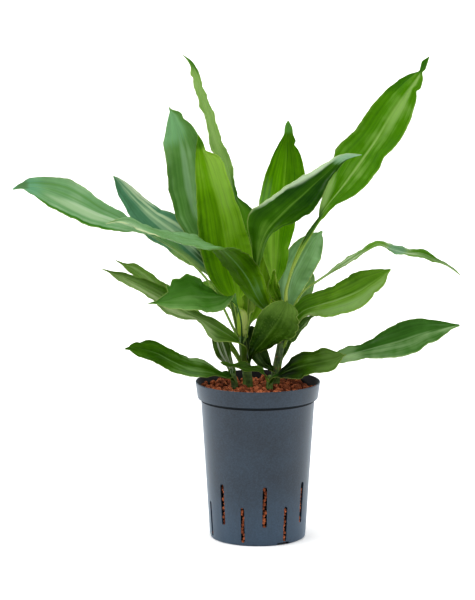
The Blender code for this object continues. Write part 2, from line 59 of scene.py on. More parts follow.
# %% Screen colours
def screen(red, green, blue):
    """A screen colour, 0 to 255, as the linear colour and alpha that a shader takes."""
    linear = []
    for level in (red, green, blue):
        share = level / 255.0
        linear.append(share / 12.92 if share <= 0.04045 else ((share + 0.055) / 1.055) ** 2.4)
    return (*linear, 1.0)


print("mid green:", [round(level, 3) for level in screen(90, 150, 40)])

# %% [markdown]
# ## The camera
# The plant was seen from three metres away with a long lens, a little above the rim of its pot.
# A long lens keeps the pot's sides nearly parallel. We place the camera first, because every
# leaf is judged through it.

# %% Camera
CAMERA_PLACE = Vector((-24.4, -3000.0, 758.0)) * MM
CAMERA_DROP = radians(8.90)
FOCAL_PIXELS = 2540.0
PICTURE_HEIGHT = 600.0
SENSOR_HEIGHT = 36.0
FARTHEST_VIEW = 200.0

lens = bpy.data.cameras.new("camera")
lens.sensor_fit = 'VERTICAL'
lens.sensor_height = SENSOR_HEIGHT
lens.lens = SENSOR_HEIGHT * FOCAL_PIXELS / PICTURE_HEIGHT
lens.clip_end = FARTHEST_VIEW
camera = bpy.data.objects.new("camera", lens)
camera.location = CAMERA_PLACE
camera.rotation_euler = Euler((pi / 2 - CAMERA_DROP, 0.0, 0.0))
bpy.context.scene.collection.objects.link(camera)
bpy.context.scene.camera = camera
bpy.context.scene.view_settings.view_transform = 'Standard'
bpy.context.scene.view_settings.look = 'Medium High Contrast'
print("lens:", round(lens.lens, 1), "mm")

# %% [markdown]
# ## Helpers for finishes
# A finish in Blender is a small graph of nodes, and every finish here needs the same few moves:
# a sum, a soft step from one level to another, a mix of two colours, a cloud of noise and a bump.
# They could be wired by hand each time, but as helpers they let each finish below read like a
# recipe. All of them work from the piece's own coordinates, so the pattern stays on the plant.


# %% Nodes and numbers
def new_material(name):
    """An empty node material, its tree and the socket that its shader goes to."""
    material = bpy.data.materials.new(name)
    material.use_nodes = True
    tree = material.node_tree
    tree.nodes.clear()
    output = tree.nodes.new("ShaderNodeOutputMaterial")
    return material, tree, output.inputs["Surface"]


def put(tree, kind, **values):
    """Add a node; a value named like an input sets that input, and any other sets the node."""
    node = tree.nodes.new(kind)
    for name, value in values.items():
        socket = name.replace("_", " ")
        matches = [entry for entry in node.inputs if entry.name.lower() == socket.lower()]
        if matches:
            matches[0].default_value = value
        else:
            setattr(node, name, value)
    return node


def calculate(tree, operation, first, second=0.0, third=0.0):
    """A Math node on two or three numbers, each of which may be a socket."""
    node = put(tree, "ShaderNodeMath", operation=operation)
    for entry, value in zip(node.inputs, (first, second, third)):
        if isinstance(value, (int, float)):
            entry.default_value = value
        else:
            tree.links.new(value, entry)
    return node.outputs[0]


def fade(tree, value, low, high, start=0.0, end=1.0):
    """Ease a number from start at low to end at high."""
    node = put(tree, "ShaderNodeMapRange", interpolation_type='SMOOTHSTEP',
               from_min=low, from_max=high, to_min=start, to_max=end)
    tree.links.new(value, node.inputs["Value"])
    return node.outputs["Result"]


def own_place(tree):
    """The place of a point in its piece's own coordinates."""
    return put(tree, "ShaderNodeTexCoord").outputs["Object"]


def parts_of(tree, vector):
    """A vector's three numbers, as sockets."""
    node = put(tree, "ShaderNodeSeparateXYZ")
    tree.links.new(vector, node.inputs[0])
    return node.outputs


print("helpers for numbers:", calculate.__name__, fade.__name__, parts_of.__name__)


# %% Colour, noise and bump
def tint(tree, share, under, over):
    """Mix two colours, each a socket or a plain colour, by a share."""
    node = put(tree, "ShaderNodeMix", data_type='RGBA')
    tree.links.new(share, node.inputs["Factor"])
    for entry, value in ((node.inputs[6], under), (node.inputs[7], over)):
        if isinstance(value, tuple):
            entry.default_value = value
        else:
            tree.links.new(value, entry)
    return node.outputs[2]


def stretched(tree, place, scale):
    """A place scaled along each axis, so that noise read there is drawn out."""
    node = put(tree, "ShaderNodeMapping", scale=scale)
    tree.links.new(place, node.inputs["Vector"])
    return node.outputs[0]


def grain(tree, vector, scale, detail=2.0, roughness=0.5):
    """A noise number, about 0 to 1, at a vector."""
    node = put(tree, "ShaderNodeTexNoise", scale=scale, detail=detail, roughness=roughness)
    tree.links.new(vector, node.inputs["Vector"])
    return node.outputs["Fac"]


def add_bump(tree, shader, height, strength, depth):
    """Let a height roughen a shader's surface by a depth in millimetres."""
    bump = put(tree, "ShaderNodeBump", strength=strength, distance=depth * MM)
    tree.links.new(height, bump.inputs["Height"])
    tree.links.new(bump.outputs[0], shader.inputs["Normal"])


print("helpers for colour:", tint.__name__, stretched.__name__, grain.__name__, add_bump.__name__)

# %% [markdown]
# ## Floor and light
# A plant on white stands between big soft boxes. One above and a little behind gives every
# surface that faces up its waxy sheen, and shines through the thin young blades. One at each
# side lightens the pot's edges. A weak one in front keeps the dark leaves readable, and a white
# room at low strength fills the rest, so the greens keep their depth. A sun with a wide spread
# is a soft box that the camera can't see, and it stands in nobody's way in the other views.

# %% Floor and room
FLOOR_HALF = 60000.0
FLOOR_CORNERS = ((-1, -1), (1, -1), (1, 1), (-1, 1))
FLOOR_WHITE = (0.93, 0.93, 0.93, 1.0)
ROOM_WHITE = (1.0, 1.0, 1.0, 1.0)
ROOM_STRENGTH = 0.35

floor_points = [(x * FLOOR_HALF * MM, y * FLOOR_HALF * MM, 0.0) for x, y in FLOOR_CORNERS]
floor_mesh = bpy.data.meshes.new("floor")
floor_mesh.from_pydata(floor_points, [], [(0, 1, 2, 3)])
floor = bpy.data.objects.new("floor", floor_mesh)
bpy.context.scene.collection.objects.link(floor)
floor_paint, floor_tree, floor_surface = new_material("floor_paint")
matt_white = put(floor_tree, "ShaderNodeBsdfPrincipled", base_color=FLOOR_WHITE, roughness=0.9)
floor_tree.links.new(matt_white.outputs[0], floor_surface)
floor_mesh.materials.append(floor_paint)

world = bpy.data.worlds.new("white_room")
world.use_nodes = True
room = world.node_tree.nodes["Background"]
room.inputs["Color"].default_value = ROOM_WHITE
room.inputs["Strength"].default_value = ROOM_STRENGTH
bpy.context.scene.world = world
print("floor:", round(2 * FLOOR_HALF * MM), "m wide")

# %% Soft boxes
# Each box has the way its light goes, its strength and its spread in degrees
SOFT_BOXES = {
    "top_light": ((0.1, -0.25, -1.0), 2.7, 70),
    "left_light": ((0.9, 0.25, -0.45), 1.4, 50),
    "right_light": ((-0.9, 0.25, -0.4), 1.1, 50),
    "front_light": ((0.1, 0.9, -0.5), 0.8, 70),
}


def soft_sun(name, direction, strength, spread):
    """A sun that shines along a direction; a wide spread makes its shadows soft."""
    lamp = bpy.data.lights.new(name, 'SUN')
    lamp.energy = strength
    lamp.angle = radians(spread)
    holder = bpy.data.objects.new(name, lamp)
    holder.rotation_euler = Vector(direction).to_track_quat('-Z', 'Y').to_euler()
    bpy.context.scene.collection.objects.link(holder)


for light_name, light in SOFT_BOXES.items():
    soft_sun(light_name, *light)
print("lights:", list(SOFT_BOXES))

# %% [markdown]
# ## The pot
# A culture pot is one thin injection moulding: a tapered wall, a rounded step up to a collar, a
# plain lip, and two rings of drainage slots with round ends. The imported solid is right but
# faceted, so we turn the same profile again with many more sides and real rounds. Slots and the
# notches in the foot are cut by one Boolean, which leaves true holes through which clay shows.

# %% Pot sizes
POT_HEIGHT = 190.0
POT_WALL = 1.5
POT_FLOOR = 3.0
BASE_RADIUS = 57.6
WAIST_RADIUS = 68.3
WAIST_HEIGHT = 168.0
COLLAR_RADIUS = 72.6
COLLAR_HEIGHT = 171.0
RIM_RADIUS = 75.0


def heading(turn, rise=0.0):
    """The direction at a turn from the front, towards the right, and a rise above level."""
    flat = cos(radians(rise))
    return Vector((sin(radians(turn)) * flat, -cos(radians(turn)) * flat, sin(radians(rise))))


def wall_radius(height):
    """The outer radius of the pot's tapered wall."""
    return BASE_RADIUS + (WAIST_RADIUS - BASE_RADIUS) * height / WAIST_HEIGHT


print("wall radius half way up:", round(wall_radius(WAIST_HEIGHT / 2), 1), "mm")

# %% Pot profile
# A point of the step under the collar is given by how far it lies out and up from the waist
FOOT_FLAT = 8.0
FOOT_ROUND = 2.6
WALL_RINGS = range(10, 165, 10)
STEP_START = WAIST_HEIGHT - 2.5
STEP_BEND = (0.0, 0.6)
STEP_FOOT = (1.6, 1.0)
STEP_HEAD = (2.2, 1.2)
STEP_RISE = 1.6
COLLAR_ROUND = 1.2
LIP_ROUNDS = (1.2, 1.0)
DRAFT = 0.1
INSIDE_RINGS = (120, 60, POT_FLOOR + 2)
FLOOR_ROUND = 1.5


def round_corner(before, corner, after, steps=5):
    """Points that round a corner between two points, along a quadratic curve."""
    points = []
    spots = (before, corner, after)
    for step in range(steps + 1):
        share = step / steps
        keep = (1 - share) ** 2, 2 * share * (1 - share), share ** 2
        points.append(tuple(sum(part * spot[axis] for part, spot in zip(keep, spots))
                            for axis in range(2)))
    return points


def from_waist(out, up):
    """A point at a distance out and up from the pot's waist."""
    return WAIST_RADIUS + out, WAIST_HEIGHT + up


def pot_outside_line():
    """The pot's outer section as (radius, height), from the middle of its foot to its lip."""
    line = [(0, 0), (BASE_RADIUS - FOOT_FLAT, 0)]
    line += round_corner((BASE_RADIUS - FOOT_ROUND, 0), (BASE_RADIUS, 0),
                         (BASE_RADIUS + DRAFT, FOOT_ROUND))
    line += [(wall_radius(height), height) for height in WALL_RINGS]
    line += round_corner((wall_radius(STEP_START), STEP_START), from_waist(*STEP_BEND),
                         from_waist(*STEP_FOOT), 4)
    return line + round_corner(from_waist(*STEP_HEAD), (COLLAR_RADIUS, WAIST_HEIGHT + STEP_RISE),
                               (COLLAR_RADIUS + DRAFT, COLLAR_HEIGHT + COLLAR_ROUND), 5)


def pot_inside_line():
    """The pot's lip and inner section, from its outer edge down to the middle of its floor."""
    outer_round, inner_round = LIP_ROUNDS
    top = (RIM_RADIUS - POT_WALL / 2, POT_HEIGHT)
    inner_radius = RIM_RADIUS - POT_WALL
    line = round_corner((RIM_RADIUS - DRAFT, POT_HEIGHT - outer_round),
                        (RIM_RADIUS, POT_HEIGHT), top, 4)
    line += round_corner(top, (inner_radius, POT_HEIGHT),
                         (inner_radius, POT_HEIGHT - inner_round), 4)[1:]
    line += [(COLLAR_RADIUS - POT_WALL, COLLAR_HEIGHT + POT_WALL),
             (WAIST_RADIUS - POT_WALL, WAIST_HEIGHT)]
    line += [(wall_radius(height) - POT_WALL, height) for height in INSIDE_RINGS]
    return line + [(BASE_RADIUS - POT_WALL - FLOOR_ROUND, POT_FLOOR), (0, POT_FLOOR)]


pot_profile = pot_outside_line() + pot_inside_line()
print("points in the pot's profile:", len(pot_profile))


# %% Mesh helpers
def object_from(builder, name):
    """Turn a bmesh, in millimetres, into an object in metres."""
    mesh = bpy.data.meshes.new(name)
    builder.transform(Matrix.Scale(MM, 4))
    builder.to_mesh(mesh)
    builder.free()
    thing = bpy.data.objects.new(name, mesh)
    bpy.context.scene.collection.objects.link(thing)
    return thing


def spin_profile(builder, line, sides):
    """Turn a profile that starts and ends on the axis into a closed solid."""
    verts = [builder.verts.new((radius, 0.0, height)) for radius, height in line]
    edges = [builder.edges.new(pair) for pair in zip(verts, verts[1:])]
    bmesh.ops.spin(builder, geom=verts + edges, cent=(0, 0, 0), axis=(0, 0, 1),
                   angle=2 * pi, steps=sides)
    bmesh.ops.remove_doubles(builder, verts=builder.verts, dist=0.001)
    bmesh.ops.recalc_face_normals(builder, faces=builder.faces)


def turn_about_axis(builder, verts, turn):
    """Turn corners about the pot's axis by some degrees."""
    bmesh.ops.rotate(builder, verts=verts, cent=(0, 0, 0),
                     matrix=Matrix.Rotation(radians(turn), 3, 'Z'))


def keep_modifiers(thing):
    """Replace an object's mesh by what its modifiers make of it."""
    graph = bpy.context.evaluated_depsgraph_get()
    made = bpy.data.meshes.new_from_object(thing.evaluated_get(graph))
    thing.modifiers.clear()
    thing.data = made


print("helpers for meshes:", object_from.__name__, spin_profile.__name__, keep_modifiers.__name__)

# %% Slot and notch cutters
# A ring of slots has the turn of its first one, and their bottom, top and width
HIGH_SLOTS = (7.6, 23.0, 73.0, 5.4)
LOW_SLOTS = (-18.1, 4.0, 47.0, 4.7)
SLOTS_A_RING = 7
SLOT_ARC_STEPS = 10
CUTTER_DEPTH = 14.0
NOTCH_TURNS = (31.7, 151.7, 271.7)
# The notch's cutter stops just above the floor, so a thin sheet of plastic stays at its bottom and
# takes the inside's painted shade
NOTCH_SIZE = (16.0, CUTTER_DEPTH, 2.9)
NOTCH_MIDDLE = 1.7


def slot_turns(first_turn):
    """The turns of one ring's slots."""
    return [first_turn + count * 360.0 / SLOTS_A_RING for count in range(SLOTS_A_RING)]


def add_slot(builder, turn, bottom, top, width):
    """A round-ended bar that will cut one slot."""
    start = CUTTER_DEPTH / 2 - wall_radius((bottom + top) / 2)
    half = width / 2
    arc = [pi * step / SLOT_ARC_STEPS for step in range(SLOT_ARC_STEPS + 1)]
    outline = [(half * cos(angle), top - half + half * sin(angle)) for angle in arc]
    outline += [(-half * cos(angle), bottom + half - half * sin(angle)) for angle in arc]
    inner = [builder.verts.new((x, start, z)) for x, z in outline]
    face = builder.faces.new(inner)
    grown = bmesh.ops.extrude_face_region(builder, geom=[face])["geom"]
    outer = [item for item in grown if isinstance(item, bmesh.types.BMVert)]
    bmesh.ops.translate(builder, verts=outer, vec=(0, -CUTTER_DEPTH, 0))
    turn_about_axis(builder, inner + outer, turn)


def add_notch(builder, turn):
    """A block that will cut one shallow notch in the foot."""
    made = bmesh.ops.create_cube(builder, size=1.0)["verts"]
    bmesh.ops.scale(builder, verts=made, vec=NOTCH_SIZE)
    bmesh.ops.translate(builder, verts=made, vec=(0, -BASE_RADIUS, NOTCH_MIDDLE))
    turn_about_axis(builder, made, turn)


print("high slots at", [round(turn) for turn in slot_turns(HIGH_SLOTS[0])], "degrees")

# %% Turn and cut the pot
POT_SIDES = 256
SHARP_FROM = radians(32)

turned = bmesh.new()
spin_profile(turned, pot_profile, POT_SIDES)
pot = object_from(turned, "pot_moulding")
cutting = bmesh.new()
for first_turn, bottom, top, width in (HIGH_SLOTS, LOW_SLOTS):
    for slot_turn in slot_turns(first_turn):
        add_slot(cutting, slot_turn, bottom, top, width)
for notch_turn in NOTCH_TURNS:
    add_notch(cutting, notch_turn)
bmesh.ops.recalc_face_normals(cutting, faces=cutting.faces)
cutter = object_from(cutting, "slot_cutter")
slots = pot.modifiers.new("slots", 'BOOLEAN')
slots.operation = 'DIFFERENCE'
slots.solver = 'EXACT'
slots.object = cutter
keep_modifiers(pot)
bpy.data.objects.remove(cutter, do_unlink=True)
pot.data.shade_smooth()
pot.data.set_sharp_from_angle(angle=SHARP_FROM)
print("pot faces:", len(pot.data.polygons))

# %% [markdown]
# ## Pot plastic
# The plastic is a satin blue-grey, dark and a little uneven: the moulding leaves a fine grain,
# and handling leaves dusty patches and upright scuffs. Towards the foot the plastic is painted
# paler, in the same colour as the dust, as painted light thrown up from the floor. A faint sheen
# gives it the bloom of worn plastic. Inside it is painted almost black as shade, because little
# light gets in, and so are the notches in the foot; the seam under the collar is painted as a dark
# line of shadow. One recipe makes all three finishes, and each face of the one mesh takes the
# finish of its place.

# %% Pot plastic recipe
SCUFF_STRETCH = (60.0, 60.0, 7.0)
SCUFF_DUST = 0.12
PATCH_DUST = 0.2
SPECK_DUST = 0.4
# Painted light: towards the foot the plastic is mixed to its paler colour, as light thrown up from
# the floor
FOOT_BOUNCE_LIGHT = 0.6
BOUNCE_LIGHT_HEIGHT = 90.0
# Painted shade: a dark band in the seam under the collar, where shadow falls
SEAM_SHADOW_LOW = WAIST_HEIGHT - 1.8
SEAM_SHADOW_HIGH = COLLAR_HEIGHT - 1.1
SEAM_SHADOW_COLOUR = screen(6, 10, 14)
SHEEN_TINT = screen(214, 233, 250)


def dust_and_bounce_light(tree, place, height):
    """How far the plastic takes its paler colour: dust from scuffs, patches and specks, and painted
    light near the floor.
    """
    upright = stretched(tree, place, SCUFF_STRETCH)
    scuff_grain = grain(tree, upright, scale=5.0, detail=4.0, roughness=0.6)
    speck_grain = grain(tree, place, scale=520.0, detail=3.0, roughness=0.7)
    scuffs = fade(tree, scuff_grain, 0.55, 0.85)
    patches = fade(tree, grain(tree, place, scale=20.0, detail=3.0), 0.3, 0.75)
    specks = fade(tree, speck_grain, 0.3, 0.75)
    dust = calculate(tree, 'MULTIPLY', patches, PATCH_DUST)
    dust = calculate(tree, 'MULTIPLY_ADD', scuffs, SCUFF_DUST, dust)
    dust = calculate(tree, 'MULTIPLY_ADD', specks, SPECK_DUST, dust)
    return calculate(tree, 'ADD', dust, fade(tree, height, BOUNCE_LIGHT_HEIGHT * MM, 0.0, 0.0, FOOT_BOUNCE_LIGHT))


def painted_seam_shadow(tree, height, strength):
    """How far a point takes the painted shadow in the seam under the collar."""
    low, high = SEAM_SHADOW_LOW * MM, SEAM_SHADOW_HIGH * MM
    return calculate(tree, 'MULTIPLY', fade(tree, height, low, low + MM, 0.0, strength),
                     fade(tree, height, high + MM, high))


def pot_plastic(name, body, dusty_and_lit, roughness, seam_shadow=0.0, sheen=0.4, shine=0.5):
    """Satin plastic with dust, a fine moulded grain, a foot painted lighter as light from the
    floor, and a painted shadow in the seam under the collar.
    """
    material, tree, surface = new_material(name)
    place = own_place(tree)
    height = parts_of(tree, place)[2]
    # Real dust, and near the foot painted light from the floor
    dust = dust_and_bounce_light(tree, place, height)
    colour = tint(tree, dust, body, dusty_and_lit)
    colour = tint(tree, painted_seam_shadow(tree, height, seam_shadow), colour, SEAM_SHADOW_COLOUR)
    shader = put(tree, "ShaderNodeBsdfPrincipled", specular_ior_level=shine, sheen_weight=sheen,
                 sheen_roughness=0.4, sheen_tint=SHEEN_TINT)
    tree.links.new(colour, shader.inputs["Base Color"])
    dulled = calculate(tree, 'MULTIPLY_ADD', dust, 0.15, roughness)
    tree.links.new(dulled, shader.inputs["Roughness"])
    add_bump(tree, shader, grain(tree, place, scale=1100.0), strength=0.45, depth=0.15)
    tree.links.new(shader.outputs[0], surface)
    return material


plastic, dusty_and_lit_plastic = screen(2, 18, 31), screen(44, 64, 82)
pot_finishes = [
    pot_plastic("pot_outside", plastic, dusty_and_lit_plastic, roughness=0.4, seam_shadow=0.9),
    # Painted shade: the inside is painted almost black, as little light gets in
    pot_plastic("pot_inside_painted_shade", screen(12, 14, 17), screen(24, 27, 31), roughness=0.55),
    # The seam's faces carry the painted shadow, with little sheen and shine
    pot_plastic("pot_seam_painted_shadow", plastic, dusty_and_lit_plastic, roughness=0.8, seam_shadow=0.94, sheen=0.05,
                shine=0.15),
]
print("pot finishes:", [finish.name for finish in pot_finishes])

# %% Finish the pot
# INSIDE is the finish painted almost black as shade, SEAM the one with the painted seam shadow
OUTSIDE, INSIDE, SEAM = range(3)
SEAM_LOW = WAIST_HEIGHT - 1.2
SEAM_HIGH = COLLAR_HEIGHT - 0.4
NOTCH_ROOF_HEIGHTS = (2.0, 10.0)
NOTCH_SIDE_HEIGHT = 3.0
UPWARD, DOWNWARD = 0.5, -0.9


def in_the_dark(face):
    """Whether a face of the pot takes the inside's painted shade: it looks to its inside or lies in
    a notch of its foot.
    """
    level = face.center.copy()
    level.z = 0.0
    outward = face.normal.dot(level.normalized())
    height = face.center.z / MM
    inside = outward < -0.3 or face.normal.z > UPWARD and height < POT_HEIGHT / 2
    roof_low, roof_high = NOTCH_ROOF_HEIGHTS
    notch_roof = face.normal.z < DOWNWARD and roof_low < height < roof_high
    notch_side = abs(face.normal.z) < 0.1 and abs(outward) < 0.3 and height < NOTCH_SIDE_HEIGHT
    return inside or notch_roof or notch_side


def finish_of(face):
    """Which of the three finishes a face of the pot takes."""
    if in_the_dark(face):
        return INSIDE
    return SEAM if SEAM_LOW * MM < face.center.z < SEAM_HIGH * MM else OUTSIDE


pot.data.materials.clear()
for finish in pot_finishes:
    pot.data.materials.append(finish)
for face in pot.data.polygons:
    face.material_index = finish_of(face)
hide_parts("pot")
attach(pot, "root")
print("inner faces:", sum(face.material_index == INSIDE for face in pot.data.polygons))

# %% [markdown]
# ## The clay granules
# The growing medium is fired clay, broken and tumbled into lumps the size of a pea to a hazelnut.
# One displaced sheet would look like soil, so each grain near the surface, and behind each slot,
# is its own lump: a small ball, squashed, turned and roughened by noise. A plain core fills the
# middle, where nobody looks, and its clay is painted almost black as the shade in the gaps between
# the grains. A fixed seed keeps every grain in its place.

# %% Where the stems stand
# Each stem has the points of its axis, its radius at the clay and its radius at the tip
STEMS = {
    "stem_left": (
        [(-12, 17, 150), (-12, 17, 186), (-14, 16, 210), (-18, 14, 235), (-19, 13, 258)], 6.0, 3.6),
    "stem_right": (
        [(21, 27, 150), (21, 27, 186), (23, 27, 200), (30, 25, 240), (31, 25, 278)], 6.0, 3.6),
    "shoot_left": (
        [(-28, 5, 150), (-28, 5, 186), (-30, 4, 198)], 4.2, 2.6),
    "shoot_front": (
        [(14, -4, 150), (14, -4, 186), (14, -5, 197)], 4.2, 2.6),
}
stem_feet = [(axis[0][0], axis[0][1], radius) for axis, radius, _ in STEMS.values()]
print("stems stand at", stem_feet)

# %% Grains on top
GRAIN_SEED = 7
CLAY_LEVEL = 181.0
GRAIN_RADII = (2.6, 5.6)
GRAIN_SPACING = 0.88
GRAIN_STIR = 1.8
GRAIN_SINK = 0.45
LAYER_DROP = 4.5
TOP_TRIES = 9000
LOWER_TRIES = 5000

draw = np.random.default_rng(GRAIN_SEED)


def inner_radius(height):
    """The pot's inner radius at a height."""
    heights = (POT_FLOOR, WAIST_HEIGHT, COLLAR_HEIGHT + POT_WALL, POT_HEIGHT)
    radii = (BASE_RADIUS, WAIST_RADIUS, COLLAR_RADIUS, RIM_RADIUS)
    return float(np.interp(height, heights, radii)) - POT_WALL


def is_clear(x, y, radius, others, spacing=1.0):
    """Whether a grain keeps its distance from others, each given as (x, y, radius)."""
    return all((x - other_x) ** 2 + (y - other_y) ** 2 > (spacing * (radius + size)) ** 2
               for other_x, other_y, size in others)


def scatter_grains(height, tries):
    """Throw grains onto a level and keep those that crowd no other grain and touch no stem."""
    kept, spots = [], []
    for _ in range(tries):
        radius = draw.uniform(*GRAIN_RADII)
        out = (inner_radius(height) - radius) * draw.uniform() ** 0.5
        turn = draw.uniform(0.0, 2 * pi)
        x, y = out * cos(turn), out * sin(turn)
        free = is_clear(x, y, radius, stem_feet)
        if free and is_clear(x, y, radius, spots, GRAIN_SPACING):
            stir = draw.uniform(-GRAIN_STIR, GRAIN_STIR)
            spots.append((x, y, radius))
            kept.append((x, y, height + stir - GRAIN_SINK * radius, radius))
    return kept


top_grains = scatter_grains(CLAY_LEVEL, TOP_TRIES)
lower_grains = scatter_grains(CLAY_LEVEL - LAYER_DROP, LOWER_TRIES)
print("grains on top:", len(top_grains), "and under them:", len(lower_grains))

# %% Grains behind the slots
SLOT_GRAIN_RADII = (1.9, 3.3)
SLOT_GRAIN_DEPTH = 0.75
SLOT_GRAIN_STEP = 1.7
SLOT_GRAIN_SIDE = 0.4
ABOVE_SLOT = 3.0


def slot_grains():
    """Grains that press against the wall from inside, behind each slot."""
    grains = []
    for first_turn, bottom, top, width in (HIGH_SLOTS, LOW_SLOTS):
        for turn in slot_turns(first_turn):
            height = bottom
            while height < top + ABOVE_SLOT:
                radius = draw.uniform(*SLOT_GRAIN_RADII)
                side = draw.uniform(-SLOT_GRAIN_SIDE, SLOT_GRAIN_SIDE) * width
                spot = heading(turn) * (inner_radius(height) - radius * SLOT_GRAIN_DEPTH)
                spot += heading(turn + 90.0) * side
                grains.append((spot.x, spot.y, height, radius))
                height += radius * SLOT_GRAIN_STEP
    return grains


wall_grains = slot_grains()
print("grains behind the slots:", len(wall_grains))

# %% Make the lumps
LUMP_SQUASH = (0.78, 1.12)
LUMP_DENTS = (0.34, 1.15)
LUMP_PITS = (0.12, 3.1)


def ball_points(subdivisions):
    """The corners and faces of a ball made of triangles."""
    builder = bmesh.new()
    bmesh.ops.create_icosphere(builder, subdivisions=subdivisions, radius=1.0)
    corners = [vert.co.copy() for vert in builder.verts]
    faces = [tuple(vert.index for vert in face.verts) for face in builder.faces]
    builder.free()
    return corners, faces


def lumps(name, grains, subdivisions):
    """One mesh of many grains, each with its own squash, turn and roughness."""
    corners, faces = ball_points(subdivisions)
    all_corners, all_faces = [], []
    for x, y, z, radius in grains:
        squash = Vector(draw.uniform(*LUMP_SQUASH, 3))
        turn = Euler(draw.uniform(0.0, 2 * pi, 3)).to_matrix()
        seed = Vector(draw.uniform(-50.0, 50.0, 3))
        start = len(all_corners)
        for corner in corners:
            swell = 1.0
            for height, fineness in (LUMP_DENTS, LUMP_PITS):
                swell += height * noise.noise(corner * fineness + seed)
            spot = turn @ (corner * squash) * radius * swell
            all_corners.append((spot + Vector((x, y, z))) * MM)
        all_faces += [tuple(start + index for index in face) for face in faces]
    mesh = bpy.data.meshes.new(name)
    mesh.from_pydata(all_corners, [], all_faces)
    mesh.shade_smooth()
    thing = bpy.data.objects.new(name, mesh)
    bpy.context.scene.collection.objects.link(thing)
    return thing


clay_top = lumps("clay_top_grains", top_grains, 3)
clay_under = lumps("clay_lower_grains", lower_grains, 2)
clay_wall = lumps("clay_slot_grains", wall_grains, 2)
print("clay faces:", [len(thing.data.polygons) for thing in (clay_top, clay_under, clay_wall)])

# %% Clay core
CORE_DROP = 8.0
CORE_INSET = 4.5
CORE_SIDES = 48
core_foot = POT_FLOOR + 0.3
core_top = CLAY_LEVEL - CORE_DROP

core_rings = [(inner_radius(height) - CORE_INSET, height)
              for height in (core_foot, 60.0, 120.0, core_top)]
core_builder = bmesh.new()
spin_profile(core_builder, [(0, core_foot)] + core_rings + [(0, core_top)], CORE_SIDES)
clay_core = object_from(core_builder, "clay_core")
print("core height:", round(core_top - core_foot, 1), "mm")

# %% [markdown]
# ## Fired clay
# Fired clay is matt and powdery. Its red-brown is deeper in the pores and paler where dust sits
# on a knob, and each grain came out of the kiln in its own shade. A pattern of cells about the
# size of a grain sets the shade, and a noise much finer than a grain draws pores and knobs.


# %% Clay finish
def fired_clay(name, low_shade, high_shade, pore, knob):
    """Matt red-brown clay with pores, dust and shades from grain to grain."""
    material, tree, surface = new_material(name)
    place = own_place(tree)
    shades = put(tree, "ShaderNodeTexVoronoi", scale=130.0)
    tree.links.new(place, shades.inputs["Vector"])
    shade = put(tree, "ShaderNodeSeparateColor")
    tree.links.new(shades.outputs["Color"], shade.inputs[0])
    pores = grain(tree, place, scale=900.0, detail=4.0, roughness=0.65)
    body = tint(tree, shade.outputs[0], low_shade, high_shade)
    body = tint(tree, fade(tree, pores, 0.58, 0.4, 0.0, 0.7), body, pore)
    body = tint(tree, fade(tree, pores, 0.58, 0.75, 0.0, 0.5), body, knob)
    shader = put(tree, "ShaderNodeBsdfPrincipled", roughness=0.95, specular_ior_level=0.2)
    tree.links.new(body, shader.inputs["Base Color"])
    add_bump(tree, shader, pores, strength=0.7, depth=0.6)
    tree.links.new(shader.outputs[0], surface)
    return material


clay = fired_clay("fired_clay", low_shade=screen(92, 44, 24), high_shade=screen(198, 118, 80),
                  pore=screen(40, 18, 10), knob=screen(214, 150, 114))
# Painted shade: the core's clay is painted dark, as the shade in the gaps between the grains
shaded_clay = fired_clay("shaded_clay", low_shade=screen(22, 10, 6), high_shade=screen(34, 16, 10),
                         pore=screen(12, 6, 4), knob=screen(48, 26, 16))
clay_pieces = (clay_top, clay_under, clay_wall, clay_core)
for thing in clay_pieces:
    thing.data.materials.append(shaded_clay if thing is clay_core else clay)
    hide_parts("clay_granules")
    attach(thing, "root")
print("clay pieces:", [thing.name for thing in clay_pieces])

# %% [markdown]
# ## Stems
# A dracaena's stem is built by its leaves: each one clasps it with a sheath, and when a leaf
# falls it leaves a ring. So a stem is a tapered tube with a low ridge every few millimetres. We
# sweep a circle up the stem's axis and let its radius swell a little at each ring.

# %% Along a stem
AXIS_STEP = 3.0


def stem_at(stem, height):
    """A stem's axis point, its upward direction and its radius at a height."""
    axis, low_radius, tip_radius = STEMS[stem]
    heights = [point[2] for point in axis]

    def spot(level):
        return Vector([float(np.interp(level, heights, [point[k] for point in axis]))
                       for k in range(3)])

    ahead = spot(height + AXIS_STEP) - spot(height - AXIS_STEP)
    ahead.z = 2 * AXIS_STEP
    share = (height - heights[1]) / (heights[-1] - heights[1])
    radius = low_radius + (tip_radius - low_radius) * min(max(share, 0.0), 1.0)
    return spot(height), ahead.normalized(), radius


print("left stem's tip:", [round(value, 1) for value in stem_at("stem_left", 258)[0]])

# %% Sweep the stems
RING_SPACING = 6.5
RING_SWELL = 0.25
STEM_SIDES = 32
STEM_STEP = 0.8
STEM_TIP = 1.6
TIP_NARROWING = 0.85


def sweep_stem(name):
    """A tapered tube with leaf-scar rings and a rounded tip."""
    axis = STEMS[name][0]
    foot, tip = axis[0][2], axis[-1][2]
    builder = bmesh.new()
    rows = []
    for height in np.arange(foot, tip + STEM_TIP, STEM_STEP):
        here, _, radius = stem_at(name, height)
        here.z = height
        phase = (height / RING_SPACING) % 1.0
        radius += RING_SWELL * (2.0 * abs(phase - 0.5)) ** 6
        if height > tip:
            radius *= (1.0 - ((height - tip) / STEM_TIP) ** 2) ** 0.5 * TIP_NARROWING
        rows.append([builder.verts.new(here + heading(360.0 * side / STEM_SIDES) * radius)
                     for side in range(STEM_SIDES)])
    for low, high in zip(rows, rows[1:]):
        for side in range(STEM_SIDES):
            after = (side + 1) % STEM_SIDES
            builder.faces.new((low[side], low[after], high[after], high[side]))
    builder.faces.new(rows[0])
    builder.faces.new(rows[-1])
    bmesh.ops.recalc_face_normals(builder, faces=builder.faces)
    stem = object_from(builder, name + "_bark")
    stem.data.shade_smooth()
    return stem


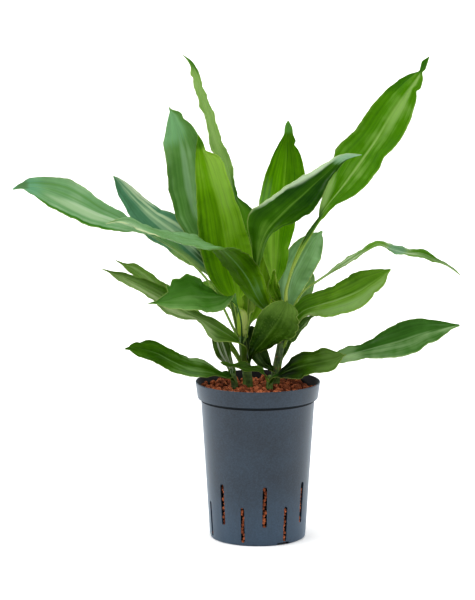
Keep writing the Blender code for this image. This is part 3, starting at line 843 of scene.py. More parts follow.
bare_stems = {stem_name: sweep_stem(stem_name) for stem_name in STEMS}
print("faces on each stem:", [len(stem.data.polygons) for stem in bare_stems.values()])

# %% [markdown]
# ## Stem skin
# Young stems are green to yellow-green, with pale upright streaks, a paler band at each ring and
# a brown scar here and there. The bands follow height, so the shader reads it from the piece's
# own coordinates and turns it into a wave with one crest to a ring.

# %% Stem finish
FIBRE_STRETCH = (1.0, 1.0, 0.12)
STEM_DEEP = screen(30, 54, 8)
STEM_BODY = screen(74, 104, 30)
STEM_FIBRE = screen(124, 146, 84)
STEM_BAND = screen(112, 128, 62)
STEM_SCAR = screen(120, 84, 52)


def stem_skin(name):
    """Green stem with pale fibres and bands and a few brown scars."""
    material, tree, surface = new_material(name)
    place = own_place(tree)
    turns = calculate(tree, 'MULTIPLY', parts_of(tree, place)[2], 2 * pi / (RING_SPACING * MM))
    bands = fade(tree, calculate(tree, 'SINE', turns), 0.9, 1.0, 0.0, 0.25)
    fibres = grain(tree, stretched(tree, place, FIBRE_STRETCH), scale=420.0)
    scars = fade(tree, grain(tree, place, scale=160.0, detail=1.0), 0.66, 0.72, 0.0, 0.8)
    mottle = fade(tree, grain(tree, place, scale=90.0), 0.3, 0.7)
    body = tint(tree, mottle, STEM_DEEP, STEM_BODY)
    body = tint(tree, fade(tree, fibres, 0.5, 0.75, 0.0, 0.6), body, STEM_FIBRE)
    body = tint(tree, bands, body, STEM_BAND)
    body = tint(tree, scars, body, STEM_SCAR)
    shader = put(tree, "ShaderNodeBsdfPrincipled", roughness=0.5)
    tree.links.new(body, shader.inputs["Base Color"])
    tree.links.new(shader.outputs[0], surface)
    return material


stem_green = stem_skin("stem_skin")
for stem_name, stem in bare_stems.items():
    stem.data.materials.append(stem_green)
    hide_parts(stem_name)
    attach(stem, "root")
print("stems:", len(bare_stems))

# %% [markdown]
# ## How a leaf is shaped
# Seen along its midrib, a leaf clasps the stem with a channelled foot, narrows to a stalk and
# opens into a blade that is widest past its middle. A few numbers describe that:
#
# - width, and neck, the share of the length at which the blade starts
# - swell and taper, how fast the blade opens and closes: the larger, the slower
# - clasp and stalk, the widths of the foot, and point and point_width, of the drawn-out tip
# - cup and vee, how the section bends and folds, with wave, waves and pleat for its broad waves
#   and lengthwise folds
# - ripple and ragged, the small unevenness of the edges, with curl and roll, the turned tip
# - left and right, where that edge is pushed out or in, as (share, millimetres)
#
# A table of such numbers could be a plain list, but then each leaf would have to give all of
# them. A small class keeps a usual value for each, so a leaf only says what is its own. The same
# numbers made the solids, so each fine leaf lies where its solid lies.

# %% Leaf numbers
BLADE_THICKNESS = 0.8
BASE_THICKNESS = 1.6
SHEATH_HEIGHT = 9.0
SHEATH_CLEARANCE = 1.6
LEAF_ROWS = 150
LEAF_CELLS = 29


@dataclass
class LeafShape:
    """One leaf's shape: shares of its length, lengths in millimetres and bends in radians."""

    width: float
    neck: float = 0.25
    swell: float = 0.8
    taper: float = 0.9
    clasp: float = 10.5
    stalk: float = 9.5
    point: float = 0.03
    point_width: float = 3.4
    cup: float = 0.14
    vee: float = 0.05
    wave: float = 2.5
    waves: float = 3.0
    pleat: float = 0.5
    ripple: float = 1.2
    ragged: float = 0.4
    curl: tuple = ()
    roll: float = 1.2
    left: tuple = ()
    right: tuple = ()


def ease(share):
    """A smooth step from 0 to 1, for one number or many."""
    share = np.clip(share, 0.0, 1.0)
    return share * share * (3.0 - 2.0 * share)


def unit(rows):
    """Each row as a direction of length one."""
    return rows / np.linalg.norm(rows, axis=1, keepdims=True)


print("ease half way:", ease(0.5), "and a plain leaf:", LeafShape(width=40.0))


# %% The midrib
def smooth_line(points, steps=16):
    """Points along one smooth curve through the given ones."""
    line = []
    last = len(points) - 1
    for index in range(last):
        here, there = points[index], points[index + 1]
        leaving = (there - points[max(index - 1, 0)]).normalized()
        arriving = (points[min(index + 2, last)] - here).normalized()
        pull = (there - here).length / 3.0
        line += interpolate_bezier(here, here + leaving * pull, there - arriving * pull,
                                   there, steps)[:-1]
    return np.array([tuple(point) for point in line + [points[last]]])


def midrib(stem, height, side, route):
    """The leaf's midrib from inside its stem to its tip, and the way it leaves the stem."""
    middle, up, radius = stem_at(stem, height)
    out = heading(side)
    out = (out - up * out.dot(up)).normalized()
    sheath_top = middle + up * SHEATH_HEIGHT + out * (radius + SHEATH_CLEARANCE)
    foot = [middle + out * radius / 3, sheath_top]
    return smooth_line(foot + [Vector(point) for point in route]), out


def along_midrib(line, share):
    """The midrib's points at some shares of its length, its direction there and its length."""
    steps = np.linalg.norm(np.diff(line, axis=0), axis=1)
    reach = np.concatenate([[0.0], np.cumsum(steps)])
    length = reach[-1]
    middle = np.stack([np.interp(share * length, reach, line[:, axis]) for axis in range(3)],
                      axis=1)
    return middle, unit(np.gradient(middle, axis=0)), length


trial_line, _ = midrib("stem_left", 233, -95, [(-55, 4, 302), (-79, -4, 332)])
print("a trial midrib is", round(along_midrib(trial_line, np.linspace(0, 1, 5))[2]), "mm long")

# %% [markdown]
# ## Outline, edges and tip
# The blade's outline is a swell times a taper. A dracaena's blade doesn't end in a corner: it
# draws out into a short narrow point, which dries, rolls up and turns aside. Its edges wander too,
# because the leaf grew folded and was knocked about. Sines of unlike lengths, added up, wander
# without repeating, and need no random numbers.

# %% The outline
TIP_WIDTH = 0.8
STALK_END = 0.85
STALK_FADE = 0.5
POINT_START = 0.8
POINT_FADE = 0.1


def wander(share, seed, waves):
    """A smooth line that wanders between about -1 and 1."""
    turns = share * waves
    line = np.sin(2 * pi * (turns + seed)) + 0.6 * np.sin(2 * pi * (1.73 * turns + 2.3 * seed))
    return (line + 0.4 * np.sin(2 * pi * (3.1 * turns + 4.1 * seed))) / 2.0


def leaf_width(share, shape):
    """The flat width along the leaf: a clasping foot, a stalk, the blade and its point."""
    blade_length = 1.0 - shape.point - shape.neck
    along = np.clip((share - shape.neck) / blade_length, 0.0, 1.0)
    widest = shape.swell / (shape.swell + shape.taper)
    opening = (along / widest) ** shape.swell
    closing = ((1.0 - along) / (1.0 - widest)) ** shape.taper
    blade = shape.width * opening * closing
    foot = shape.clasp + (shape.stalk - shape.clasp) * ease(share / (shape.neck * 0.6))
    foot = foot * ease((STALK_END - share) / STALK_FADE)
    ending = np.clip((1.0 - share) / shape.point, 0.0, 1.0) ** 0.7
    tip = shape.point_width * ease((share - POINT_START) / POINT_FADE) * ending
    return np.maximum((blade ** 3 + foot ** 3 + tip ** 3) ** (1.0 / 3.0), TIP_WIDTH)


half_way = leaf_width(np.array(0.5), LeafShape(width=50.0))
print("a 50 mm blade's width half way:", round(float(half_way), 1), "mm")

# %% [markdown]
# ## The leaf as a sheet
# A leaf could be a flat outline that is bent afterwards, but then every bend stretches the ones
# before. Here each cross-section is set square to the midrib at once: a channel at the foot, a
# shallow cup with a fold at the midrib in the blade, and a roll at the tip. Then waves, pleats
# and ripples lift the sheet, and each edge is pushed to where the real one lies.

# %% Which way the leaf looks
FIRST_LOOK = 0.3


def tip_turn(share, shape):
    """How far each share lies in the dried tip, from 0 to 1."""
    return ease((share - 1.0 + 2.2 * shape.point) / (1.8 * shape.point))


def leaf_looks(share, ahead, out, looks, shape):
    """The direction that the leaf's face looks to at each share, square to the midrib."""
    keys = [0.0] + list(np.linspace(FIRST_LOOK, 1.0, len(looks)))
    faces = np.array([tuple(-out)] + [tuple(heading(*look)) for look in looks])
    look = np.stack([np.interp(share, keys, faces[:, axis]) for axis in range(3)], axis=1)
    if shape.curl:
        turned_away = np.array(heading(*shape.curl)) - look
        look = look + turned_away * tip_turn(share, shape)[:, None]
    return unit(look - ahead * np.sum(look * ahead, axis=1, keepdims=True))


print("looks start at share", FIRST_LOOK)

# %% The section
CHANNEL_BEND = 0.95
EDGE_SHIFT = 0.35
EDGE_POWER = 1.6
PLEATS_ACROSS = 1.4
PLEAT_WANDER = 0.35
PLEAT_WAVES = 1.6


def bent_section(along, side, shape):
    """How far the sheet lies sideways from its midrib and above it, before it ripples."""
    open_out = ease((along - shape.neck * 0.55) / (shape.neck * 0.9 + 0.12))
    bend = CHANNEL_BEND + (shape.cup - CHANNEL_BEND) * open_out
    bend = bend + (shape.roll - bend) * tip_turn(along, shape)
    half = leaf_width(along, shape) / 2.0
    sideways = half * np.sin(bend * side) / bend
    lift = half * (1.0 - np.cos(bend * side)) / bend
    return sideways, lift + np.abs(sideways) * np.tan(shape.vee * open_out)


def wave_and_pleat(lift, along, side, shape, seed, blade):
    """Lift the sheet by the broad waves of its sides and the long folds that run down it."""
    shift = np.where(side > 0, EDGE_SHIFT, 0.0)
    turns = shape.waves * along + shift
    lift = lift + shape.wave * blade * np.sin(2 * pi * turns) * np.abs(side) ** EDGE_POWER
    folds = PLEATS_ACROSS * side + PLEAT_WANDER * wander(along, seed, PLEAT_WAVES) + seed
    return lift + shape.pleat * blade * np.cos(2 * pi * folds)


print("pleats across a blade:", 2 * PLEATS_ACROSS)

# %% The edges
RIPPLE_LENGTH = 24.0
RAGGED_LENGTH = 31.0
NECK_FADE = 0.15
END_FADE = 0.12


def work_edge(sideways, lift, share, side, shape, seed, blade, length, hand):
    """Push one edge, -1 left or 1 right, out or in, and make it ragged and rippled."""
    along = share[:, None]
    near = np.where(side * hand > 0, np.abs(side), 0.0)
    extra = shape.ragged * wander(along, seed + hand, length / RAGGED_LENGTH) * blade
    pushes = shape.left if hand < 0 else shape.right
    if pushes:
        shares, amounts = zip(*pushes)
        extra = extra + np.interp(share, shares, amounts)[:, None]
    rippling = wander(along, 3 * seed + hand, length / RIPPLE_LENGTH)
    return (sideways + hand * extra * near,
            lift + shape.ripple * rippling * blade * near ** 3)


def leaf_sheet(line, out, looks, shape, seed):
    """The leaf's middle surface as a grid of points, with its shares and its looks."""
    share = np.linspace(0.0, 1.0, LEAF_ROWS)
    middle, ahead, length = along_midrib(line, share)
    look = leaf_looks(share, ahead, out, looks, shape)
    across = np.cross(ahead, look)
    side = np.linspace(-1.0, 1.0, LEAF_CELLS)[None, :]
    along = share[:, None]
    blade = ease((along - shape.neck) / NECK_FADE) * ease((1.0 - along) / END_FADE)
    sideways, lift = bent_section(along, side, shape)
    lift = wave_and_pleat(lift, along, side, shape, seed, blade)
    for hand in (-1, 1):
        sideways, lift = work_edge(sideways, lift, share, side, shape, seed, blade, length, hand)
    points = middle[:, None, :] + across[:, None, :] * sideways[..., None]
    return points + look[:, None, :] * lift[..., None], share, look


print("points in a sheet:", LEAF_ROWS * LEAF_CELLS)

# %% [markdown]
# ## From a sheet to a leaf
# A real blade is under a millimetre thick, but it has two faces and an edge, and light goes
# through it. So the sheet is given a top, an underside and a rim. A map along the leaf and
# across it goes with it, which the skin uses to draw veins that run from foot to tip. The
# underside's map is moved aside, so that the skin can tell the two faces apart.

# %% The leaf's two faces
UNDERSIDE_STEP = 2.0


def sheet_normals(points, look):
    """Directions square to a grid of points, on the side that the leaf's face looks to."""
    down = np.gradient(points, axis=0)
    over = np.gradient(points, axis=1)
    normals = np.cross(down, over)
    normals /= np.linalg.norm(normals, axis=2, keepdims=True)
    facing = np.sign(np.sum(normals * look[:, None, :], axis=2, keepdims=True))
    return normals * np.where(facing == 0.0, 1.0, facing)


def leaf_corners(points, share, look, neck):
    """The corners of the top and then of the underside, in metres."""
    thick = BASE_THICKNESS + (BLADE_THICKNESS - BASE_THICKNESS) * ease(share / (neck + 0.1))
    offset = sheet_normals(points, look) * (thick / 2.0)[:, None, None]
    top, underside = (points + offset).reshape(-1, 3), (points - offset).reshape(-1, 3)
    return np.concatenate([top, underside]) * MM


def leaf_quads(rows, cells):
    """The four-cornered faces of the top, the underside and the rim."""
    index = np.arange(rows * cells).reshape(rows, cells)
    top = np.stack([index[:-1, :-1], index[:-1, 1:], index[1:, 1:], index[1:, :-1]], axis=-1)
    top = top.reshape(-1, 4)
    underside = top[:, ::-1] + rows * cells
    ring = np.concatenate([index[:, 0], index[-1, 1:], index[-2::-1, -1], index[0, -2:0:-1]])
    after = np.roll(ring, -1)
    rim = np.stack([ring, ring + rows * cells, after + rows * cells, after], axis=-1)
    return top, underside, rim


print("faces on a leaf:", sum(len(part) for part in leaf_quads(LEAF_ROWS, LEAF_CELLS)))


# %% The leaf's map and mesh
def map_leaf(mesh, share, cells, rim_start):
    """Lay the map on a leaf: along it first, then across it, with the underside moved aside."""
    along = np.repeat(share, cells)
    over = np.tile(np.linspace(0.0, 1.0, cells), len(share))
    chart = np.concatenate([np.stack([along, over], axis=1),
                            np.stack([along, over + UNDERSIDE_STEP], axis=1)])
    loops = np.empty(len(mesh.loops), dtype=np.int64)
    mesh.loops.foreach_get("vertex_index", loops)
    values = chart[loops]
    values[rim_start:, 1] %= UNDERSIDE_STEP
    mesh.uv_layers.new(name="leaf_map").data.foreach_set("uv", values.ravel())


def face_outwards(mesh):
    """Turn a closed mesh's faces over if they look inwards."""
    builder = bmesh.new()
    builder.from_mesh(mesh)
    if builder.calc_volume(signed=True) < 0:
        bmesh.ops.reverse_faces(builder, faces=builder.faces)
        builder.to_mesh(mesh)
    builder.free()


def leaf_mesh(name, points, share, look, neck):
    """A closed leaf with two faces, a rim and a map along and across it."""
    rows, cells = points.shape[:2]
    top, underside, rim = leaf_quads(rows, cells)
    corners = leaf_corners(points, share, look, neck)
    mesh = bpy.data.meshes.new(name)
    mesh.from_pydata(corners.tolist(), [], np.concatenate([top, underside, rim]).tolist())
    map_leaf(mesh, share, cells, rim_start=4 * (len(top) + len(underside)))
    mesh.shade_smooth()
    face_outwards(mesh)
    return mesh


print("the underside's map is moved by", UNDERSIDE_STEP)

# %% [markdown]
# ## Leaf skin
# No dracaena leaf is one green. Along its length it goes from a pale stalk through a dark body to
# a thin tip, one half is painted lighter than the other where it would catch more light, and broad
# milky streaks are a painted sheen on its wax. So a skin has three greens, deep, body and pale, and
# one number, the light, that picks among them; the light is partly the leaf's own tone and partly
# painted light and shade. It follows the leaf's own map: a run along the leaf, a lean across it,
# streaks and veins.
# Touches are soft patches, mostly of painted highlight and painted shade, such as a silver sheen on
# an edge or a shaded foot. Each one has its share of the length, its place across, its length, its
# breadth, its colour and its amount.


# %% Light and touches
def level_run(tree, along, run):
    """A number along the leaf through a few given (share, level) points."""
    node = put(tree, "ShaderNodeValToRGB")
    node.color_ramp.interpolation = 'EASE'
    tree.links.new(along, node.inputs[0])
    stops = node.color_ramp.elements
    while len(stops) < len(run):
        stops.new(0.5)
    for stop, (share, level) in zip(stops, run):
        stop.position = share
        stop.color = (level, level, level, 1.0)
    return node.outputs[0]


def pick_green(tree, light, greens):
    """The deep, body or pale green, or a green between, for a light from 0 to 1."""
    node = put(tree, "ShaderNodeValToRGB")
    tree.links.new(light, node.inputs[0])
    stops = node.color_ramp.elements
    stops.new(0.5)
    for stop, position, green in zip(stops, (0.0, 0.5, 1.0), greens):
        stop.position = position
        stop.color = screen(*green)
    return node.outputs[0]


def touch(tree, colour, along, over, rough, patch):
    """Paint one soft patch with rough edges."""
    share, across, length, breadth, paint, amount = patch
    lengthwise = calculate(tree, 'DIVIDE', calculate(tree, 'SUBTRACT', along, share), length)
    crosswise = calculate(tree, 'DIVIDE', calculate(tree, 'SUBTRACT', over, across), breadth)
    far = calculate(tree, 'MULTIPLY', lengthwise, lengthwise)
    far = calculate(tree, 'MULTIPLY_ADD', crosswise, crosswise, far)
    far = calculate(tree, 'ADD', far, rough)
    return tint(tree, fade(tree, far, 1.2, 0.2, 0.0, amount), colour, screen(*paint))


print("helpers for the skin:", level_run.__name__, pick_green.__name__, touch.__name__)


# %% Reading the leaf's map
def read_map(tree):
    """The share along the leaf, the place across it and the distance from its midrib."""
    along, wide, _ = parts_of(tree, put(tree, "ShaderNodeUVMap", uv_map="leaf_map").outputs[0])
    underside = calculate(tree, 'GREATER_THAN', wide, (UNDERSIDE_STEP + 1.0) / 2)
    moved = calculate(tree, 'MULTIPLY', underside, UNDERSIDE_STEP)
    over = calculate(tree, 'SUBTRACT', wide, moved)
    side = calculate(tree, 'ABSOLUTE', calculate(tree, 'MULTIPLY_ADD', over, 2.0, -1.0))
    return along, over, side


def stripes(tree, along, over, lengthwise, crosswise, seed):
    """A vector on which noise becomes stripes that run down the leaf."""
    node = put(tree, "ShaderNodeCombineXYZ")
    tree.links.new(calculate(tree, 'MULTIPLY', along, lengthwise), node.inputs[0])
    tree.links.new(calculate(tree, 'MULTIPLY', over, crosswise), node.inputs[1])
    node.inputs[2].default_value = seed
    return node.outputs[0]


print("helpers for the map:", read_map.__name__, stripes.__name__)

# %% Leaf skin recipe
VEIN_STRIPES = (2.0, 18.0, 3.0)
PAINTED_SHEEN_STRIPES = (1.8, 4.0)
VEIN_LIGHT = 0.4
CLOUD_LIGHT = 0.6
SMOOTHER, ROUGHER = -0.06, 0.08
MARGIN_GREEN = (176, 192, 110)
LEAF_SHINE = 0.07
GLOW_DIM = 0.7


def leaf_light(tree, along, over, run, lean, patterns):
    """The leaf's own tone with its painted light and shade: its run, its lean to one half and its
    patterns of noise.
    """
    light = calculate(tree, 'ADD', level_run(tree, along, run),
                      fade(tree, over, 0.42, 0.58, -lean, lean))
    for pattern, strength in patterns:
        ripple = calculate(tree, 'SUBTRACT', pattern, 0.5)
        light = calculate(tree, 'MULTIPLY_ADD', ripple, strength, light)
    return light


def waxy_leaf(tree, colour, clouds, veins, side, gloss):
    """The leaf's waxy surface, raised a little along veins and midrib."""
    shader = put(tree, "ShaderNodeBsdfPrincipled", specular_ior_level=LEAF_SHINE)
    tree.links.new(colour, shader.inputs["Base Color"])
    tree.links.new(fade(tree, clouds, 0.2, 0.8, gloss + SMOOTHER, gloss + ROUGHER),
                   shader.inputs["Roughness"])
    height = calculate(tree, 'MULTIPLY_ADD', veins, 0.5, fade(tree, side, 0.0, 0.05))
    add_bump(tree, shader, height, strength=0.5, depth=0.3)
    return shader


def shine_through(tree, shader, veins, glow, clear):
    """Mix a shader with light from behind, which is brighter between the veins."""
    through = put(tree, "ShaderNodeBsdfTranslucent")
    dim = screen(*(level * GLOW_DIM for level in glow))
    tree.links.new(tint(tree, fade(tree, veins, 0.3, 0.7), dim, screen(*glow)),
                   through.inputs["Color"])
    blend = put(tree, "ShaderNodeMixShader")
    blend.inputs[0].default_value = clear
    tree.links.new(shader.outputs[0], blend.inputs[1])
    tree.links.new(through.outputs[0], blend.inputs[2])
    return blend


print("margin green:", MARGIN_GREEN)


# %% Leaf skin
def leaf_skin(name, neck, deep, body, pale, glow, stalk_tone, gloss=0.34, streaks=1.1, rib=0.4,
              margin=0.3, clear=0.3, run=((0.0, 0.5), (1.0, 0.5)), lean=0.0, touches=(), dust=0.0):
    """A leaf's skin: three greens, touches of painted highlight and shade, stalk, midrib, margin
    and wax.
    """
    material, tree, surface = new_material(name)
    along, over, side = read_map(tree)
    place = own_place(tree)
    clouds = grain(tree, place, scale=40.0)
    vein_place = stripes(tree, along, over, *VEIN_STRIPES)
    veins = grain(tree, vein_place, scale=1.0, detail=3.0, roughness=0.6)
    # Broad milky streaks: a painted sheen on the wax
    painted_sheen = grain(tree, stripes(tree, along, over, *PAINTED_SHEEN_STRIPES, neck * 10), scale=1.0)
    patterns = ((painted_sheen, streaks), (veins, VEIN_LIGHT), (clouds, CLOUD_LIGHT))
    # The light number: the leaf's own tone with painted light and shade
    light = leaf_light(tree, along, over, run, lean, patterns)
    colour = pick_green(tree, light, (deep, body, pale))
    foot = fade(tree, along, neck * 1.25, neck * 0.6)
    colour = tint(tree, foot, colour, screen(*stalk_tone))
    rough = calculate(tree, 'MULTIPLY_ADD', veins, 1.6, -0.8)
    # Touches: soft patches, mostly painted highlights and painted shade
    for patch in touches:
        colour = touch(tree, colour, along, over, rough, patch)
    rib_line = calculate(tree, 'MULTIPLY', fade(tree, side, 0.08, 0.02, 0.0, rib),
                         fade(tree, along, 0.97, 0.6))
    colour = tint(tree, rib_line, colour, screen(*pale))
    colour = tint(tree, fade(tree, side, 0.94, 0.985, 0.0, margin), colour,
                  screen(*MARGIN_GREEN))
    if dust:
        specks = grain(tree, place, scale=420.0, detail=3.0)
        speckle = fade(tree, specks, 0.5, 0.72, 0.0, dust)
        colour = tint(tree, speckle, colour, screen(*pale))
    shader = waxy_leaf(tree, colour, clouds, veins, side, gloss)
    blend = shine_through(tree, shader, veins, glow, clear)
    tree.links.new(blend.outputs[0], surface)
    return material


print("leaf skin recipe:", leaf_skin.__name__)

# %% [markdown]
# ## Growing the leaves
# One function grows a leaf from its stem, by the height and side where it leaves the stem, the
# directions its face looks to, as (turn, rise), and the route of its midrib. Each leaf then has
# its own tones, partly because every leaf has its own age: young ones in the middle are
# yellow-green and old ones low down are dark. Partly the tones are painted light and shade: a leaf
# that shows us its shaded underside is painted dark, and the waxy ones to the left and right are
# blue-green, partly from a painted sheen on their wax. We give each leaf the tone of its kind
# first, and then change only what is its own, including its painted light and shade. The numbers
# are judged one leaf at a time, from its foot to its tip.

# %% Tones
TONES = {
    "blue": dict(deep=(64, 106, 46), body=(94, 138, 90), pale=(150, 180, 136),
                 glow=(120, 170, 60), stalk_tone=(116, 148, 72), clear=0.2, gloss=0.42),
    "bright": dict(deep=(54, 96, 0), body=(90, 136, 6), pale=(142, 178, 76),
                   glow=(190, 225, 0), stalk_tone=(138, 168, 50), clear=0.4),
    "mid": dict(deep=(52, 92, 2), body=(84, 126, 22), pale=(128, 160, 84),
                glow=(150, 200, 0), stalk_tone=(132, 160, 70), clear=0.28),
    "dark": dict(deep=(20, 52, 0), body=(44, 84, 6), pale=(92, 128, 52),
                 glow=(90, 150, 0), stalk_tone=(48, 88, 16), clear=0.15),
}
print("tones:", list(TONES))

# %% Grow a leaf
SEED_STEP = 0.137
leaf_faces = {}


def grow_leaf(name, stem, height, side, tone, looks, route, shape, **skin):
    """Grow one leaf in place of its solid, with its own shape and its own changes of tone."""
    line, out = midrib(stem, height, side, route)
    points, share, look = leaf_sheet(line, out, looks, shape, SEED_STEP * len(leaf_faces))
    mesh = leaf_mesh(name + "_blade", points, share, look, shape.neck)
    mesh.materials.append(leaf_skin(name + "_skin", shape.neck, **{**TONES[tone], **skin}))
    leaf = bpy.data.objects.new(name + "_blade", mesh)
    bpy.context.scene.collection.objects.link(leaf)
    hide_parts(name)
    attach(leaf, "root")
    leaf_faces[name] = len(mesh.polygons)
    print(name, "on", stem, "from", height, "mm up:", leaf_faces[name], "faces")


print("a leaf's seed grows by", SEED_STEP)

# %% [markdown]
# ## Leaves at the upper left
# Four leaves reach out and up to the left: the longest, which leans far out, a bluer one behind
# it, a dark one that arches over from the right stem, its underside painted in shade and a painted
# silver highlight at its edge, and one that stands nearly upright. A leaf could be copied, scaled
# and turned to make all of them, but the eye knows a copy at once. So each has its own route and
# looks first, then its edges, and its tones last, because an edge means nothing until the midrib
# is right.

# %% Long left leaf
grow_leaf(
    "leaf_long_left", "stem_left", height=233, side=-95, tone="blue",
    looks=[(30, 55), (10, 52), (0, 48)],
    route=[(-55, 4, 302), (-79, -4, 332), (-116, -14, 361), (-151, -20, 380), (-189, -24, 395),
           (-222, -28, 411), (-251, -32, 423), (-275, -35, 427), (-288, -36, 425)],
    shape=LeafShape(
        width=55, neck=0.42, swell=1.7, taper=0.7, stalk=11.0, point_width=5.0, wave=3.0,
        ragged=0.2,
        left=[(0.5, -5), (0.57, -4), (0.6, 0), (0.67, 3), (0.71, 5), (0.75, 4), (0.8, 1),
              (0.87, -3), (0.9, -5), (0.93, -7), (0.95, -3), (0.97, 0)],
        right=[(0.5, -6), (0.6, -5), (0.65, -4.5), (0.7, -4.5), (0.75, 0.5), (0.8, 4), (0.83, 3.5),
               (0.87, -0.5), (0.9, -3.5), (0.93, -1), (0.95, 1.5), (0.975, 4), (1.0, 1)]),
    deep=(78, 116, 62), body=(102, 142, 96), pale=(148, 172, 136), lean=-0.05,
    # The palest touches are painted sheen, and the dark one along its edge is painted shade
    touches=[(0.76, 0.36, 0.14, 0.12, (156, 180, 142), 0.7),
             (0.76, 0.0, 0.24, 0.09, (44, 102, 8), 1.0),
             (0.98, 0.5, 0.09, 0.8, (92, 142, 110), 0.8),
             (0.97, 0.6, 0.025, 0.5, (78, 104, 60), 0.7),
             (0.8, 0.76, 0.24, 0.035, (86, 128, 66), 0.6),
             (0.78, 0.6, 0.22, 0.03, (86, 128, 66), 0.5),
             (0.7, 0.46, 0.16, 0.07, (160, 182, 148), 0.7)])

# %% Back left leaf
grow_leaf(
    "leaf_back_left", "stem_left", height=228, side=-170, tone="blue",
    looks=[(30, 40), (10, 40), (0, 45)],
    route=[(-37, 40, 292), (-64, 52, 322), (-94, 62, 349), (-119, 70, 367), (-143, 78, 388),
           (-163, 84, 410), (-176, 86, 428)],
    shape=LeafShape(
        width=42, neck=0.3, swell=0.9, point=0.02,
        left=[(0.35, 0), (0.45, 1), (0.52, 2), (0.57, -1), (0.61, -2), (0.65, 1), (0.68, 3.5),
              (0.74, 4.5), (0.8, 2), (0.87, 0), (0.92, 1), (0.96, 2), (1.0, 0)],
        right=[(0.6, 6), (0.65, 6), (0.7, 3), (0.75, 0), (0.85, 1), (0.9, 2.5), (0.96, 4),
               (0.98, 3), (1.0, 0)]),
    deep=(62, 104, 70), body=(82, 128, 98), pale=(150, 176, 138), lean=0.1,
    touches=[(0.42, 0.7, 0.1, 0.3, (40, 72, 22), 0.9),
             (0.47, 0.15, 0.14, 0.25, (124, 152, 78), 0.8),
             (0.9, 0.95, 0.14, 0.14, (184, 198, 168), 0.9),
             (0.62, 0.3, 0.1, 0.2, (96, 136, 66), 0.6),
             (0.78, 0.8, 0.26, 0.06, (166, 188, 150), 0.9),
             (0.72, 0.62, 0.3, 0.04, (160, 186, 148), 0.8)])

# %% Arched left leaf
grow_leaf(
    "leaf_arched_left", "stem_right", height=246, side=-25, tone="dark",
    looks=[(165, 30), (140, 50), (20, 80), (0, 72), (0, 68), (0, 60)],
    route=[(4, -3, 285), (-13, -19, 318), (-29, -35, 341), (-45, -50, 358), (-63, -62, 363),
           (-93, -78, 370), (-125, -90, 383), (-153, -98, 396), (-176, -104, 393)],
    shape=LeafShape(width=48, neck=0.12, swell=0.7),
    deep=(26, 56, 0), body=(66, 104, 0), pale=(106, 143, 98), streaks=0.6, margin=0.1,
    # Its run paints the shaded underside dark and the part beyond the fold pale, as painted
    # reflection of the light above
    run=((0.1, 0.55), (0.27, 0.5), (0.4, 0.25), (0.5, 0.5), (0.57, 0.9), (0.8, 1.0)),
    touches=[(0.22, 0.02, 0.14, 0.12, (98, 136, 10), 0.8),
             (0.13, 0.9, 0.12, 0.2, (104, 136, 66), 0.7),
             (0.84, 0.0, 0.05, 0.16, (208, 210, 164), 0.9),
             (0.9, 0.15, 0.12, 0.3, (148, 172, 136), 0.6),
             (0.56, 0.03, 0.05, 0.16, (58, 92, 20), 0.8),
             (0.96, 0.05, 0.05, 0.2, (190, 200, 150), 0.5),
             (0.97, 0.95, 0.04, 0.2, (130, 150, 100), 0.8)])

# %% Upright left leaf
grow_leaf(
    "leaf_upright_left", "stem_left", height=249, side=-155, tone="blue",
    looks=[(0, 20), (0, 15), (0, 10)],
    route=[(-31, 32, 302), (-58, 42, 349), (-74, 45, 385), (-82, 47, 427), (-88, 47, 464),
           (-96, 46, 493), (-107, 45, 516)],
    shape=LeafShape(
        width=52, swell=0.9, taper=0.7, point=0.02, curl=(-60, 10),
        left=[(0.5, 0), (0.54, 1), (0.6, -0.5), (0.65, 1.5), (0.7, 0), (0.75, 0), (0.8, 2),
              (0.86, 4.5), (0.9, 2.5), (0.94, 1.5), (0.97, 0)],
        right=[(0.8, 0), (0.9, 1), (0.93, -2), (0.95, 2), (0.98, 3.5), (1.0, 0)]),
    deep=(62, 108, 30), body=(92, 134, 70), pale=(138, 172, 124), lean=0.04,
    touches=[(0.7, 0.44, 0.2, 0.09, (154, 186, 150), 0.5),
             (0.92, 0.3, 0.1, 0.5, (122, 168, 122), 0.7),
             (0.58, 0.0, 0.2, 0.12, (58, 104, 26), 0.7),
             (0.42, 0.7, 0.14, 0.3, (70, 118, 22), 0.7)])

# %% [markdown]
# ## Leaves in the middle
# The crown has the youngest leaves. A broad bright one has light behind it, a tall one turns
# its narrow back to us half way up, an upright one is yellow-green, and a dark one looks away,
# its face painted dark as shade, with a painted silver sheen on its rolled edge. A strip of a blue
# leaf, a rolled young spear and a short brown-green one fill the gaps between the stems. Even the
# spear is the same sheet, only narrow and cupped.

